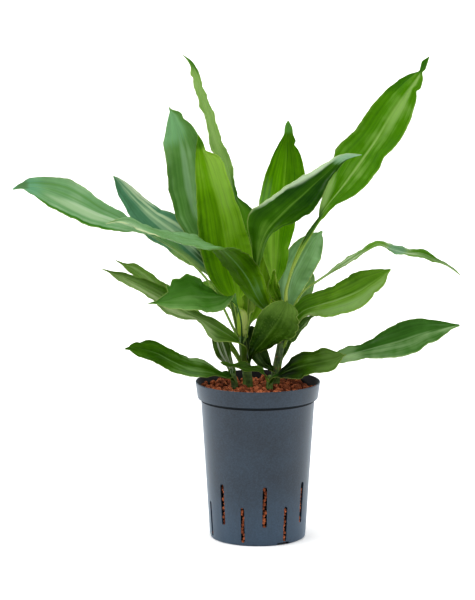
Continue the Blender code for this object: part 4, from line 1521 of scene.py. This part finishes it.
# %% Bright centre leaf
grow_leaf(
    "leaf_bright_centre", "stem_left", height=240, side=-10, tone="bright",
    looks=[(0, 15), (5, 15), (5, 20)],
    route=[(-21, 8, 272), (-26, 11, 295), (-32, 14, 325), (-38, 17, 355), (-44, 19, 388),
           (-54, 20, 424), (-64, 19, 457), (-71, 17, 484)],
    shape=LeafShape(
        width=60, neck=0.2, swell=0.5, taper=1.0, stalk=13.0, point=0.05, point_width=6.0,
        left=[(0.3, 2), (0.5, 2.5), (0.7, 3.5), (0.85, 5), (0.92, 5), (0.96, 3), (1.0, 0)],
        right=[(0.35, 0), (0.45, -2), (0.55, -4), (0.66, -3), (0.72, 1), (0.78, 5), (0.83, 9),
               (0.865, 11), (0.885, 9), (0.905, 4), (0.92, 0), (0.97, 1), (1.0, 0)]),
    deep=(60, 104, 0), body=(104, 152, 8), pale=(148, 184, 80), stalk_tone=(150, 178, 64),
    streaks=0.7, rib=0.25, lean=0.16,
    run=((0.1, 0.6), (0.28, 0.35), (0.5, 0.45), (0.66, 0.55), (0.84, 0.85), (0.95, 0.7)),
    touches=[(0.74, 0.72, 0.14, 0.25, (140, 178, 78), 0.7),
             (0.45, 0.05, 0.22, 0.14, (50, 92, 0), 0.7),
             (0.97, 0.5, 0.045, 0.9, (50, 100, 14), 0.9),
             (0.08, 0.25, 0.1, 0.3, (200, 210, 136), 0.8)])

# %% Tall left leaf
grow_leaf(
    "leaf_tall_left", "stem_left", height=251, side=120, tone="mid",
    looks=[(50, 8), (55, 8), (70, 7), (74, 7), (69, 8), (68, 9), (67, 10), (71, 12), (75, 15)],
    route=[(-11, 24, 270), (-11, 25, 300), (-12, 28, 335), (-19, 40, 373), (-31, 47, 415),
           (-43, 52, 451), (-55, 55, 483), (-64, 57, 513), (-72, 58, 547), (-79, 58, 564),
           (-90, 58, 577)],
    shape=LeafShape(
        width=38, swell=1.0, taper=1.0, clasp=8.5, ragged=0.2,
        left=[(0.48, -4), (0.55, -8), (0.58, -10), (0.6, -8), (0.62, -3), (0.645, 4), (0.67, 6),
              (0.7, 5), (0.74, 0), (0.78, 0), (0.8, 6), (0.83, 4), (0.87, 5), (0.91, 5),
              (0.93, 10), (0.945, 3), (1.0, 0)],
        right=[(0.3, 6), (0.34, 10), (0.38, 14), (0.42, 18), (0.44, 11), (0.457, 4), (0.475, -4),
               (0.5, -5), (0.55, -2), (0.59, 0), (0.62, -5), (0.65, -10), (0.69, -6), (0.75, 5),
               (0.78, 8), (0.8, 6), (0.87, -1), (0.91, 0), (0.95, 4), (1.0, 0)]),
    deep=(84, 124, 42), body=(130, 162, 88), pale=(152, 178, 116), streaks=0.6,
    run=((0.3, 0.1), (0.5, 0.35), (0.6, 0.5), (0.9, 0.55)),
    touches=[(0.98, 0.5, 0.05, 0.9, (62, 112, 24), 0.8),
             (0.95, 0.85, 0.04, 0.3, (52, 100, 14), 0.7),
             (0.42, 0.85, 0.14, 0.45, (40, 88, 4), 0.9),
             (0.4, 0.72, 0.08, 0.2, (84, 132, 10), 0.7)])

# %% Upright right leaf
grow_leaf(
    "leaf_upright_right", "stem_right", height=268, side=-150, tone="bright",
    looks=[(0, 10), (0, 10), (0, 10)],
    route=[(19, 34, 289), (22, 40, 319), (25, 48, 354), (28, 56, 390), (32, 62, 426),
           (35, 66, 462), (37, 68, 497)],
    shape=LeafShape(
        width=54, neck=0.15, swell=0.95, point=0.05, point_width=7.0,
        left=[(0.93, 0), (0.96, 1.5), (0.985, 1.5), (1.0, 0)],
        right=[(0.25, 0), (0.3, -3), (0.35, -7), (0.5, -7), (0.55, -3), (0.62, 0), (0.7, 2.5),
               (0.8, 3), (0.86, 1.5), (0.88, -1), (0.9, 3), (0.94, 3), (0.97, 3), (1.0, 0)]),
    deep=(38, 88, 0), body=(86, 142, 0), pale=(156, 196, 80), streaks=0.6, rib=0.3, lean=-0.1,
    run=((0.1, 0.95), (0.25, 0.75), (0.42, 0.58), (0.6, 0.5), (0.74, 0.36), (0.88, 0.1)),
    touches=[(0.97, 0.5, 0.04, 0.9, (82, 134, 72), 0.8),
             (0.55, 0.12, 0.16, 0.16, (118, 164, 92), 0.6)])

# %% Dark centre leaf
grow_leaf(
    "leaf_dark_centre", "stem_right", height=258, side=-80, tone="dark",
    looks=[(200, 10), (200, 30), (180, 45), (180, 60)],
    route=[(5, 9, 283), (-2, -1, 315), (0, -11, 345), (10, -20, 373), (29, -32, 397),
           (51, -44, 419), (74, -56, 442), (97, -68, 463), (119, -76, 470)],
    shape=LeafShape(
        width=46, neck=0.28, swell=1.2, taper=1.4, cup=0.2, ragged=0.2,
        left=[(0.35, 0), (0.4, -4), (0.45, -7), (0.5, -5), (0.55, 1), (0.6, 4), (0.65, 8),
              (0.7, 7), (0.75, 4), (0.8, 0)],
        right=[(0.2, -3), (0.36, -2.5), (0.4, -1), (0.44, 4), (0.475, 11), (0.5, 14), (0.53, 13),
               (0.57, 6), (0.6, 1.5), (0.65, 1), (0.7, 2), (0.75, 3), (0.8, 4), (0.9, 5),
               (0.95, 6), (1.0, 0)]),
    deep=(20, 58, 0), body=(52, 94, 0), pale=(112, 150, 60), streaks=0.7,
    run=((0.1, 0.35), (0.28, 0.6), (0.42, 0.62), (0.55, 0.4), (0.68, 0.1), (0.9, 0.25)),
    # The first two touches are a painted silver sheen on the rolled edge
    touches=[(0.64, 1.0, 0.14, 0.09, (172, 192, 158), 1.0),
             (0.82, 0.97, 0.16, 0.24, (172, 192, 160), 1.0),
             (0.96, 0.6, 0.08, 0.6, (138, 172, 140), 0.9),
             (0.3, 0.45, 0.16, 0.1, (104, 136, 56), 0.6)])

# %% Blue back leaf
grow_leaf(
    "leaf_blue_back", "stem_left", height=234, side=90, tone="blue",
    looks=[(0, 20), (0, 20), (0, 30)],
    route=[(-9, 33, 261), (-4, 39, 282), (1, 49, 317), (6, 59, 353), (11, 72, 383)],
    shape=LeafShape(
        width=32, neck=0.2,
        left=[(0.05, 0), (0.15, 5), (0.4, 6), (0.6, 1)],
        right=[(0.05, 0), (0.15, 5), (0.4, 6), (0.6, 1)]),
    deep=(40, 66, 4), body=(124, 168, 30), pale=(136, 160, 112))

# %% Spear leaf
grow_leaf(
    "leaf_spear", "stem_right", height=272, side=-100, tone="mid",
    looks=[(0, 10), (0, 10)],
    route=[(19, 18, 301), (20, 16, 323)],
    shape=LeafShape(width=14, neck=0.2, swell=1.0, taper=1.15, stalk=8.0, cup=0.3, vee=0.12),
    deep=(46, 84, 2), body=(98, 142, 20), pale=(160, 180, 84), margin=0.7)

# %% Short centre leaf
grow_leaf(
    "leaf_short_centre", "stem_right", height=190, side=-60, tone="dark",
    looks=[(0, 10), (0, 10)],
    route=[(8, 16, 210), (0, 14, 225), (-6, 16, 246), (-8, 17, 254)],
    shape=LeafShape(
        width=16, neck=0.15, swell=1.0, taper=1.15, stalk=8.0, cup=0.3, vee=0.12,
        left=[(0.3, 0), (0.6, 4), (0.85, 6), (1.0, 1)],
        right=[(0.3, 0), (0.6, 4), (0.85, 6), (1.0, 1)]),
    deep=(12, 30, 0), body=(36, 60, 12), pale=(92, 114, 66))

# %% [markdown]
# ## Leaves at the right
# The tall leaf here is dark with a pale midrib, and two blue ones stand behind the stem. The
# ribbon beside them is a narrow blade that buckles as it dries, so it has a look for each bend,
# where other leaves need three. A broad one and a small dark one close the side.

# %% Tall right leaf
grow_leaf(
    "leaf_tall_right", "stem_right", height=262, side=50, tone="mid",
    looks=[(-20, 25), (-20, 25), (-20, 25)],
    route=[(36, 20, 300), (48, 25, 337), (59, 31, 359), (78, 32, 390), (108, 32, 429),
           (136, 30, 469), (166, 28, 519), (193, 25, 559), (203, 22, 577)],
    shape=LeafShape(
        width=50, neck=0.36, swell=0.6, taper=0.8, point=0.055, point_width=5.5, ragged=0.2,
        left=[(0.3, -2), (0.37, -5), (0.42, -5), (0.47, -1), (0.5, 3), (0.55, 9), (0.57, 12),
              (0.6, 12), (0.63, 8), (0.66, 5), (0.7, 4), (0.8, 6), (0.88, 7), (0.92, 4),
              (0.945, -1), (0.96, 1.5), (0.975, 4), (1.0, 0)],
        right=[(0.34, 0), (0.37, 0.5), (0.4, -4), (0.43, -6), (0.47, -3), (0.5, 0), (0.55, 2),
               (0.62, 2), (0.65, -1), (0.7, 5), (0.78, 7), (0.86, 5), (0.885, 1), (0.9, 6),
               (0.93, 6), (0.945, 1), (0.96, 3), (1.0, 0)]),
    deep=(42, 92, 0), body=(72, 120, 2), pale=(140, 170, 94), streaks=0.8, rib=0.8,
    touches=[(0.1, 0.4, 0.12, 0.6, (192, 206, 112), 0.7),
             (0.4, 0.12, 0.12, 0.25, (146, 176, 106), 0.8),
             (0.84, 0.6, 0.16, 0.13, (130, 162, 88), 0.8),
             (0.32, 0.3, 0.08, 0.7, (30, 78, 24), 0.9), (0.97, 0.5, 0.04, 0.9, (44, 92, 14), 0.9),
             (0.9, 0.1, 0.08, 0.2, (44, 92, 4), 0.7)])

# %% Blue right leaf
grow_leaf(
    "leaf_blue_right", "stem_right", height=246, side=150, tone="blue",
    looks=[(0, 40), (0, 35), (0, 30)],
    route=[(37, 43, 284), (43, 62, 306), (55, 82, 327), (66, 96, 344), (79, 106, 358)],
    shape=LeafShape(
        width=41, neck=0.15, swell=0.7, taper=0.6,
        right=[(0.5, 0), (0.7, 2), (0.85, 3), (0.95, 3), (1.0, 2)]),
    deep=(72, 108, 46), body=(112, 150, 98), pale=(150, 182, 136), margin=0.6)

# %% Blue right low leaf
grow_leaf(
    "leaf_blue_right_low", "stem_right", height=236, side=115, tone="blue",
    looks=[(0, 40), (0, 40), (0, 40)],
    route=[(41, 46, 272), (50, 68, 284), (59, 88, 296), (68, 104, 309)],
    shape=LeafShape(width=30, neck=0.15, swell=0.7, taper=0.6),
    deep=(80, 120, 50), body=(112, 150, 84), pale=(140, 168, 108))

# %% Ribbon right leaf
grow_leaf(
    "leaf_ribbon_right", "stem_right", height=240, side=65, tone="mid",
    looks=[(0, 80), (0, 79), (0, 78), (0, 77), (0, 76), (0, 74), (0, 66), (0, 78), (0, 67),
           (0, 84), (0, 64), (0, 50), (0, 52), (0, 45), (0, 60)],
    route=[(44, 20, 275), (55, 16, 295), (74, 11, 310), (92, 6, 323), (112, 1, 337),
           (129, -3, 349), (143, -6, 356), (159, -9, 350), (176, -12, 346), (194, -15, 346),
           (211, -18, 339), (226, -20, 332), (240, -22, 321)],
    shape=LeafShape(
        width=20, neck=0.3, swell=1.0, taper=1.15, clasp=9.0, stalk=8.0, cup=0.2, vee=0.1,
        wave=2.0),
    deep=(62, 98, 14), body=(120, 148, 92), pale=(198, 206, 184),
    touches=[(0.6, 0.5, 0.06, 0.9, (80, 124, 4), 0.8), (0.7, 0.5, 0.05, 0.9, (98, 136, 108), 0.8),
             (0.83, 0.3, 0.08, 0.5, (64, 108, 0), 0.8)])

# %% Mid right leaf
grow_leaf(
    "leaf_mid_right", "stem_right", height=222, side=50, tone="mid",
    looks=[(10, 50), (5, 47), (0, 45)],
    route=[(40, 4, 257), (54, -6, 275), (71, -14, 283), (92, -24, 291), (116, -32, 302),
           (138, -38, 317), (156, -42, 331)],
    shape=LeafShape(
        width=47, neck=0.15, swell=0.7, taper=0.7, ragged=0.2,
        left=[(0.3, -2), (0.45, -2), (0.5, -1.5), (0.54, 0.5), (0.62, 1.5), (0.7, 2.5), (0.82, 6),
              (0.9, 5), (0.96, 4), (1.0, 1)],
        right=[(0.3, -4), (0.42, -9), (0.48, -6), (0.53, -0.5), (0.58, 2), (0.64, 4), (0.72, 4),
               (0.77, 3), (0.8, 1), (0.84, -2), (0.87, 2), (0.92, 5), (0.96, 3), (1.0, 0)]),
    deep=(48, 84, 0), body=(90, 126, 32), pale=(126, 152, 90), streaks=0.7, rib=0.7, lean=0.14,
    run=((0.15, 0.1), (0.28, 0.15), (0.38, 0.5), (0.7, 0.5), (0.9, 0.5)),
    touches=[(0.5, 0.0, 0.4, 0.06, (40, 84, 0), 0.7), (0.4, 0.95, 0.1, 0.12, (124, 146, 92), 0.7),
             (0.68, 0.8, 0.26, 0.2, (120, 148, 90), 0.7),
             (0.36, 0.35, 0.12, 0.5, (54, 94, 0), 0.6)])

# %% Small right leaf
grow_leaf(
    "leaf_small_right", "stem_right", height=210, side=110, tone="dark",
    looks=[(0, 50), (0, 50)],
    route=[(38, 40, 233), (49, 48, 245), (59, 54, 254), (70, 58, 260)],
    shape=LeafShape(
        width=15, neck=0.2, swell=1.0, taper=1.15, stalk=8.0, cup=0.3, vee=0.12,
        left=[(0.4, 0), (0.6, 3), (0.85, 4), (1.0, 1)]),
    deep=(36, 66, 12), body=(74, 104, 42), pale=(150, 166, 126))

# %% [markdown]
# ## Leaves low in front and at the left
# The old leaves hang lowest. They are dark, and the one in front is dusty, with a nibbled edge
# that its left list follows notch by notch. One on the small shoot is still folded, with two
# milky stripes, and the rest run out to the left over the rim. A leaf that shows us its back
# looks to 180 degrees, away from the camera.

# %% Dark front leaf
grow_leaf(
    "leaf_dark_front", "stem_left", height=203, side=45, tone="dark",
    looks=[(180, 0), (180, 8), (172, 5), (160, 0)],
    route=[(-3, -15, 230), (5, -25, 241), (15, -34, 256), (25, -43, 272), (31, -49, 285),
           (34, -53, 296)],
    shape=LeafShape(
        width=47, neck=0.12, swell=0.8, taper=0.42, cup=0.3, wave=1.0,
        left=[(0.15, -2), (0.3, -7), (0.5, -6), (0.58, -3.5), (0.615, 0), (0.63, 5), (0.645, 1.5),
              (0.68, 3.5), (0.72, 4), (0.735, 1.5), (0.76, 3.5), (0.8, 3), (0.815, 1), (0.84, 2.5),
              (0.86, 2.5), (0.885, -1.5), (0.91, 1.5), (1.0, 0)],
        right=[(0.15, -2), (0.3, -6), (0.5, -5), (0.65, -1), (0.75, 0)]),
    deep=(18, 42, 0), body=(44, 72, 4), pale=(88, 116, 48), lean=-0.06, dust=0.4,
    run=((0.1, 0.0), (0.3, 0.12), (0.5, 0.3), (0.66, 0.6), (0.85, 0.85)),
    touches=[(0.35, 0.05, 0.1, 0.16, (70, 94, 30), 0.7)])

# %% Front left leaf
grow_leaf(
    "leaf_front_left", "stem_left", height=221, side=-20, tone="dark",
    looks=[(180, 20), (0, 45), (0, 40), (0, 40)],
    route=[(-20, -3, 261), (-26, -18, 285), (-36, -34, 297), (-57, -62, 301), (-80, -82, 305),
           (-105, -101, 304), (-127, -116, 302)],
    shape=LeafShape(
        width=54, swell=1.8, taper=1.3, ragged=0.2,
        left=[(0.35, -4), (0.5, -4), (0.6, -2), (0.7, 0), (0.85, 1.5), (0.93, 1.5), (1.0, 0)],
        right=[(0.45, -4), (0.51, -7), (0.58, -7), (0.64, -2.5), (0.68, 2), (0.7, 5.5), (0.743, 1),
               (0.78, 5.5), (0.816, -1), (0.838, 4), (0.853, -5), (0.9, -3), (0.95, -1.5),
               (1.0, 0)]),
    deep=(32, 76, 0), body=(66, 110, 36), pale=(104, 140, 80), stalk_tone=(28, 58, 6), lean=-0.2,
    run=((0.2, 0.7), (0.36, 0.35), (0.55, 0.5), (0.85, 0.6)),
    touches=[(0.88, 0.7, 0.14, 0.4, (72, 114, 46), 0.7)])

# %% Mid left leaf
grow_leaf(
    "leaf_mid_left", "stem_left", height=206, side=-35, tone="mid",
    looks=[(0, 50), (0, 50), (0, 50)],
    route=[(-22, -8, 236), (-43, -14, 253), (-60, -18, 264), (-87, -24, 279), (-122, -31, 301),
           (-157, -35, 320), (-184, -38, 331)],
    shape=LeafShape(
        width=27, neck=0.3, swell=1.3, stalk=12.0,
        left=[(0.1, 0), (0.2, 5), (0.26, 10), (0.31, 16), (0.36, 14), (0.39, 8), (0.42, 2),
              (0.45, 0), (0.52, 3), (0.6, 5), (0.66, 3), (0.7, 0), (0.8, -1), (1.0, 0)],
        right=[(0.1, 0), (0.2, 2), (0.35, 3), (0.45, 0), (0.75, 0), (0.85, -2), (0.92, -2.5),
               (1.0, 0)]),
    deep=(50, 78, 12), body=(100, 126, 68), pale=(150, 170, 118), lean=-0.22,
    touches=[(0.62, 0.25, 0.3, 0.12, (166, 182, 134), 0.7),
             (0.12, 0.5, 0.12, 0.9, (36, 62, 0), 0.8), (0.62, 0.85, 0.14, 0.2, (60, 96, 22), 0.6),
             (0.35, 0.1, 0.07, 0.25, (142, 164, 110), 0.6),
             (0.24, 0.5, 0.12, 0.6, (54, 92, 8), 0.8)])

# %% Mid left back leaf
grow_leaf(
    "leaf_mid_left_back", "stem_left", height=198, side=-110, tone="mid",
    looks=[(0, 50), (0, 50), (0, 50)],
    route=[(-30, 26, 222), (-52, 29, 250), (-74, 27, 265), (-98, 21, 282), (-120, 12, 299),
           (-137, 8, 315), (-155, 3, 328), (-170, 0, 336)],
    shape=LeafShape(
        width=25, neck=0.35, ragged=0.2,
        right=[(0.72, 0), (0.8, 2), (0.86, 4), (0.9, 2.5), (0.93, -1), (0.97, -1), (1.0, 0)]),
    deep=(78, 110, 36), body=(108, 138, 66), pale=(154, 176, 124))

# %% Folded left leaf
grow_leaf(
    "leaf_folded_left", "shoot_left", height=190, side=-160, tone="dark",
    looks=[(0, 10), (0, 10), (0, 20)],
    route=[(-31, 10, 201), (-41, 12, 222), (-47, 14, 240), (-53, 17, 253), (-58, 20, 262)],
    shape=LeafShape(width=20, neck=0.2, swell=1.0, taper=1.15, clasp=8.5, cup=0.3, vee=0.12),
    deep=(32, 54, 10), body=(58, 84, 22), pale=(142, 152, 126), streaks=0.5,
    run=((0.05, 1.0), (0.2, 0.9), (0.34, 0.7), (0.48, 0.35), (0.75, 0.5)),
    touches=[(0.35, 0.32, 0.5, 0.07, (172, 182, 160), 0.9),
             (0.4, 0.62, 0.5, 0.06, (160, 172, 146), 0.8)])

# %% Low left leaf
grow_leaf(
    "leaf_low_left", "shoot_left", height=186, side=-60, tone="dark",
    looks=[(0, 50), (0, 45), (0, 45)],
    route=[(-41, -6, 196), (-57, -12, 202), (-81, -22, 208), (-102, -32, 219), (-122, -40, 231),
           (-141, -46, 237), (-157, -50, 238)],
    shape=LeafShape(
        width=34, neck=0.2, swell=0.7, taper=0.6, clasp=8.5,
        left=[(0.35, 0), (0.45, -1.5), (0.55, -3.5), (0.64, -3.5), (0.7, -1), (0.76, 1.5),
              (0.82, 2), (0.85, 0.5), (0.9, 0.5), (0.95, 1), (1.0, 1)],
        right=[(0.15, 3), (0.24, 6), (0.38, 5), (0.45, 3), (0.5, 1), (0.55, -1.5), (0.6, -3),
               (0.66, -5), (0.7, -3), (0.74, 1), (0.78, 3), (0.84, 1.5), (0.88, -1), (0.95, 0.5),
               (1.0, 0.5)]),
    deep=(30, 66, 0), body=(60, 98, 12), pale=(116, 150, 88), lean=-0.06,
    run=((0.05, 0.2), (0.25, 0.5), (0.4, 0.72), (0.58, 0.5), (0.75, 0.35)),
    touches=[(0.33, 0.92, 0.2, 0.07, (122, 150, 98), 0.7),
             (0.42, 0.25, 0.1, 0.2, (80, 116, 62), 0.6)])

# %% [markdown]
# ## Leaves low at the right
# Two leaves of the front shoot lie close over the clay, dark at the foot where the others shade
# them, and the lowest of the right stem reaches far out on a long stalk. The shade could be left
# to the lights, but a run that starts low keeps it there in every view.

# %% Small front leaf
grow_leaf(
    "leaf_small_front", "shoot_front", height=187, side=-60, tone="mid",
    looks=[(0, 60), (0, 50)],
    route=[(5, -12, 203), (-7, -18, 208), (-25, -24, 212), (-45, -28, 217)],
    shape=LeafShape(
        width=14, neck=0.15, swell=1.0, taper=1.15, clasp=8.5, stalk=7.0, cup=0.2, vee=0.12),
    deep=(28, 48, 4), body=(66, 96, 30), pale=(106, 134, 62))

# %% Low right leaf
grow_leaf(
    "leaf_low_right", "shoot_front", height=185, side=60, tone="dark",
    looks=[(0, 50), (0, 42)],
    route=[(25, -10, 198), (38, -18, 206), (54, -26, 213), (70, -34, 218), (89, -41, 223),
           (104, -46, 230)],
    shape=LeafShape(width=38, neck=0.15, swell=0.6, taper=0.6, clasp=8.5),
    deep=(10, 26, 0), body=(50, 78, 8), pale=(88, 116, 54), lean=-0.06,
    run=((0.05, 0.0), (0.3, 0.05), (0.45, 0.3), (0.6, 0.6), (0.8, 0.85)))

# %% Low far right leaf
grow_leaf(
    "leaf_low_far_right", "stem_right", height=187, side=80, tone="dark",
    looks=[(0, 55), (0, 42), (0, 36)],
    route=[(40, 24, 201), (56, 22, 200), (75, 22, 204), (103, 20, 216), (126, 18, 223),
           (150, 16, 230), (174, 13, 237), (197, 10, 246), (220, 7, 253), (242, 5, 257)],
    shape=LeafShape(
        width=44, neck=0.35, swell=1.3, taper=1.1, ragged=0.2,
        left=[(0.33, 2), (0.37, 6), (0.42, 5), (0.45, 0), (0.48, -4), (0.535, -4), (0.58, -1.5),
              (0.64, 0), (0.9, 1.5), (0.95, 2.5), (1.0, 0.5)],
        right=[(0.33, 2), (0.37, 7), (0.43, 6), (0.47, 1), (0.5, 0), (0.6, 2), (0.68, 2),
               (0.75, 1), (0.82, -1), (0.85, 2), (0.89, 4), (0.93, 4), (0.97, 2), (1.0, 1)]),
    deep=(34, 72, 8), body=(64, 106, 42), pale=(148, 176, 126), streaks=0.6, lean=0.12,
    run=((0.3, 0.95), (0.42, 0.8), (0.52, 0.5), (0.8, 0.45)),
    touches=[(0.4, 0.2, 0.06, 0.3, (116, 150, 96), 0.6)])

# %% [markdown]
# ## Leaves at the back
# The far side of the plant can't be seen from the camera. A bare back would look wrong as soon
# as the plant is turned, so four plain leaves fill it, with everyday numbers and no touches.

# %% Back arched leaf
grow_leaf(
    "leaf_back_arched", "stem_left", height=224, side=175, tone="mid",
    looks=[(0, 40), (0, 60), (0, 75), (180, 70)],
    route=[(-26, 62, 285), (-36, 100, 325), (-46, 140, 350), (-54, 178, 356), (-60, 210, 345)],
    shape=LeafShape(width=48))

# %% Back upright leaf
grow_leaf(
    "leaf_back_upright", "stem_right", height=258, side=-150, tone="bright",
    looks=[(0, 30), (0, 40), (0, 60)],
    route=[(12, 46, 290), (13, 76, 325), (14, 105, 357), (15, 135, 380), (16, 168, 386)],
    shape=LeafShape(width=38))

# %% Back low right leaf
grow_leaf(
    "leaf_back_low_right", "stem_right", height=208, side=165, tone="dark",
    looks=[(0, 50), (0, 65), (0, 80)],
    route=[(33, 56, 242), (44, 82, 258), (58, 112, 264), (70, 150, 268), (80, 188, 262)],
    shape=LeafShape(width=40, neck=0.33))

# %% Back low left leaf
grow_leaf(
    "leaf_back_low_left", "stem_left", height=208, side=-155, tone="mid",
    looks=[(0, 50), (0, 65), (0, 80)],
    route=[(-24, 46, 262), (-46, 74, 280), (-72, 108, 285), (-96, 140, 282), (-118, 168, 271)],
    shape=LeafShape(width=38, neck=0.33))

# %% All leaves
print("leaves:", len(leaf_faces), "with", sum(leaf_faces.values()), "faces")
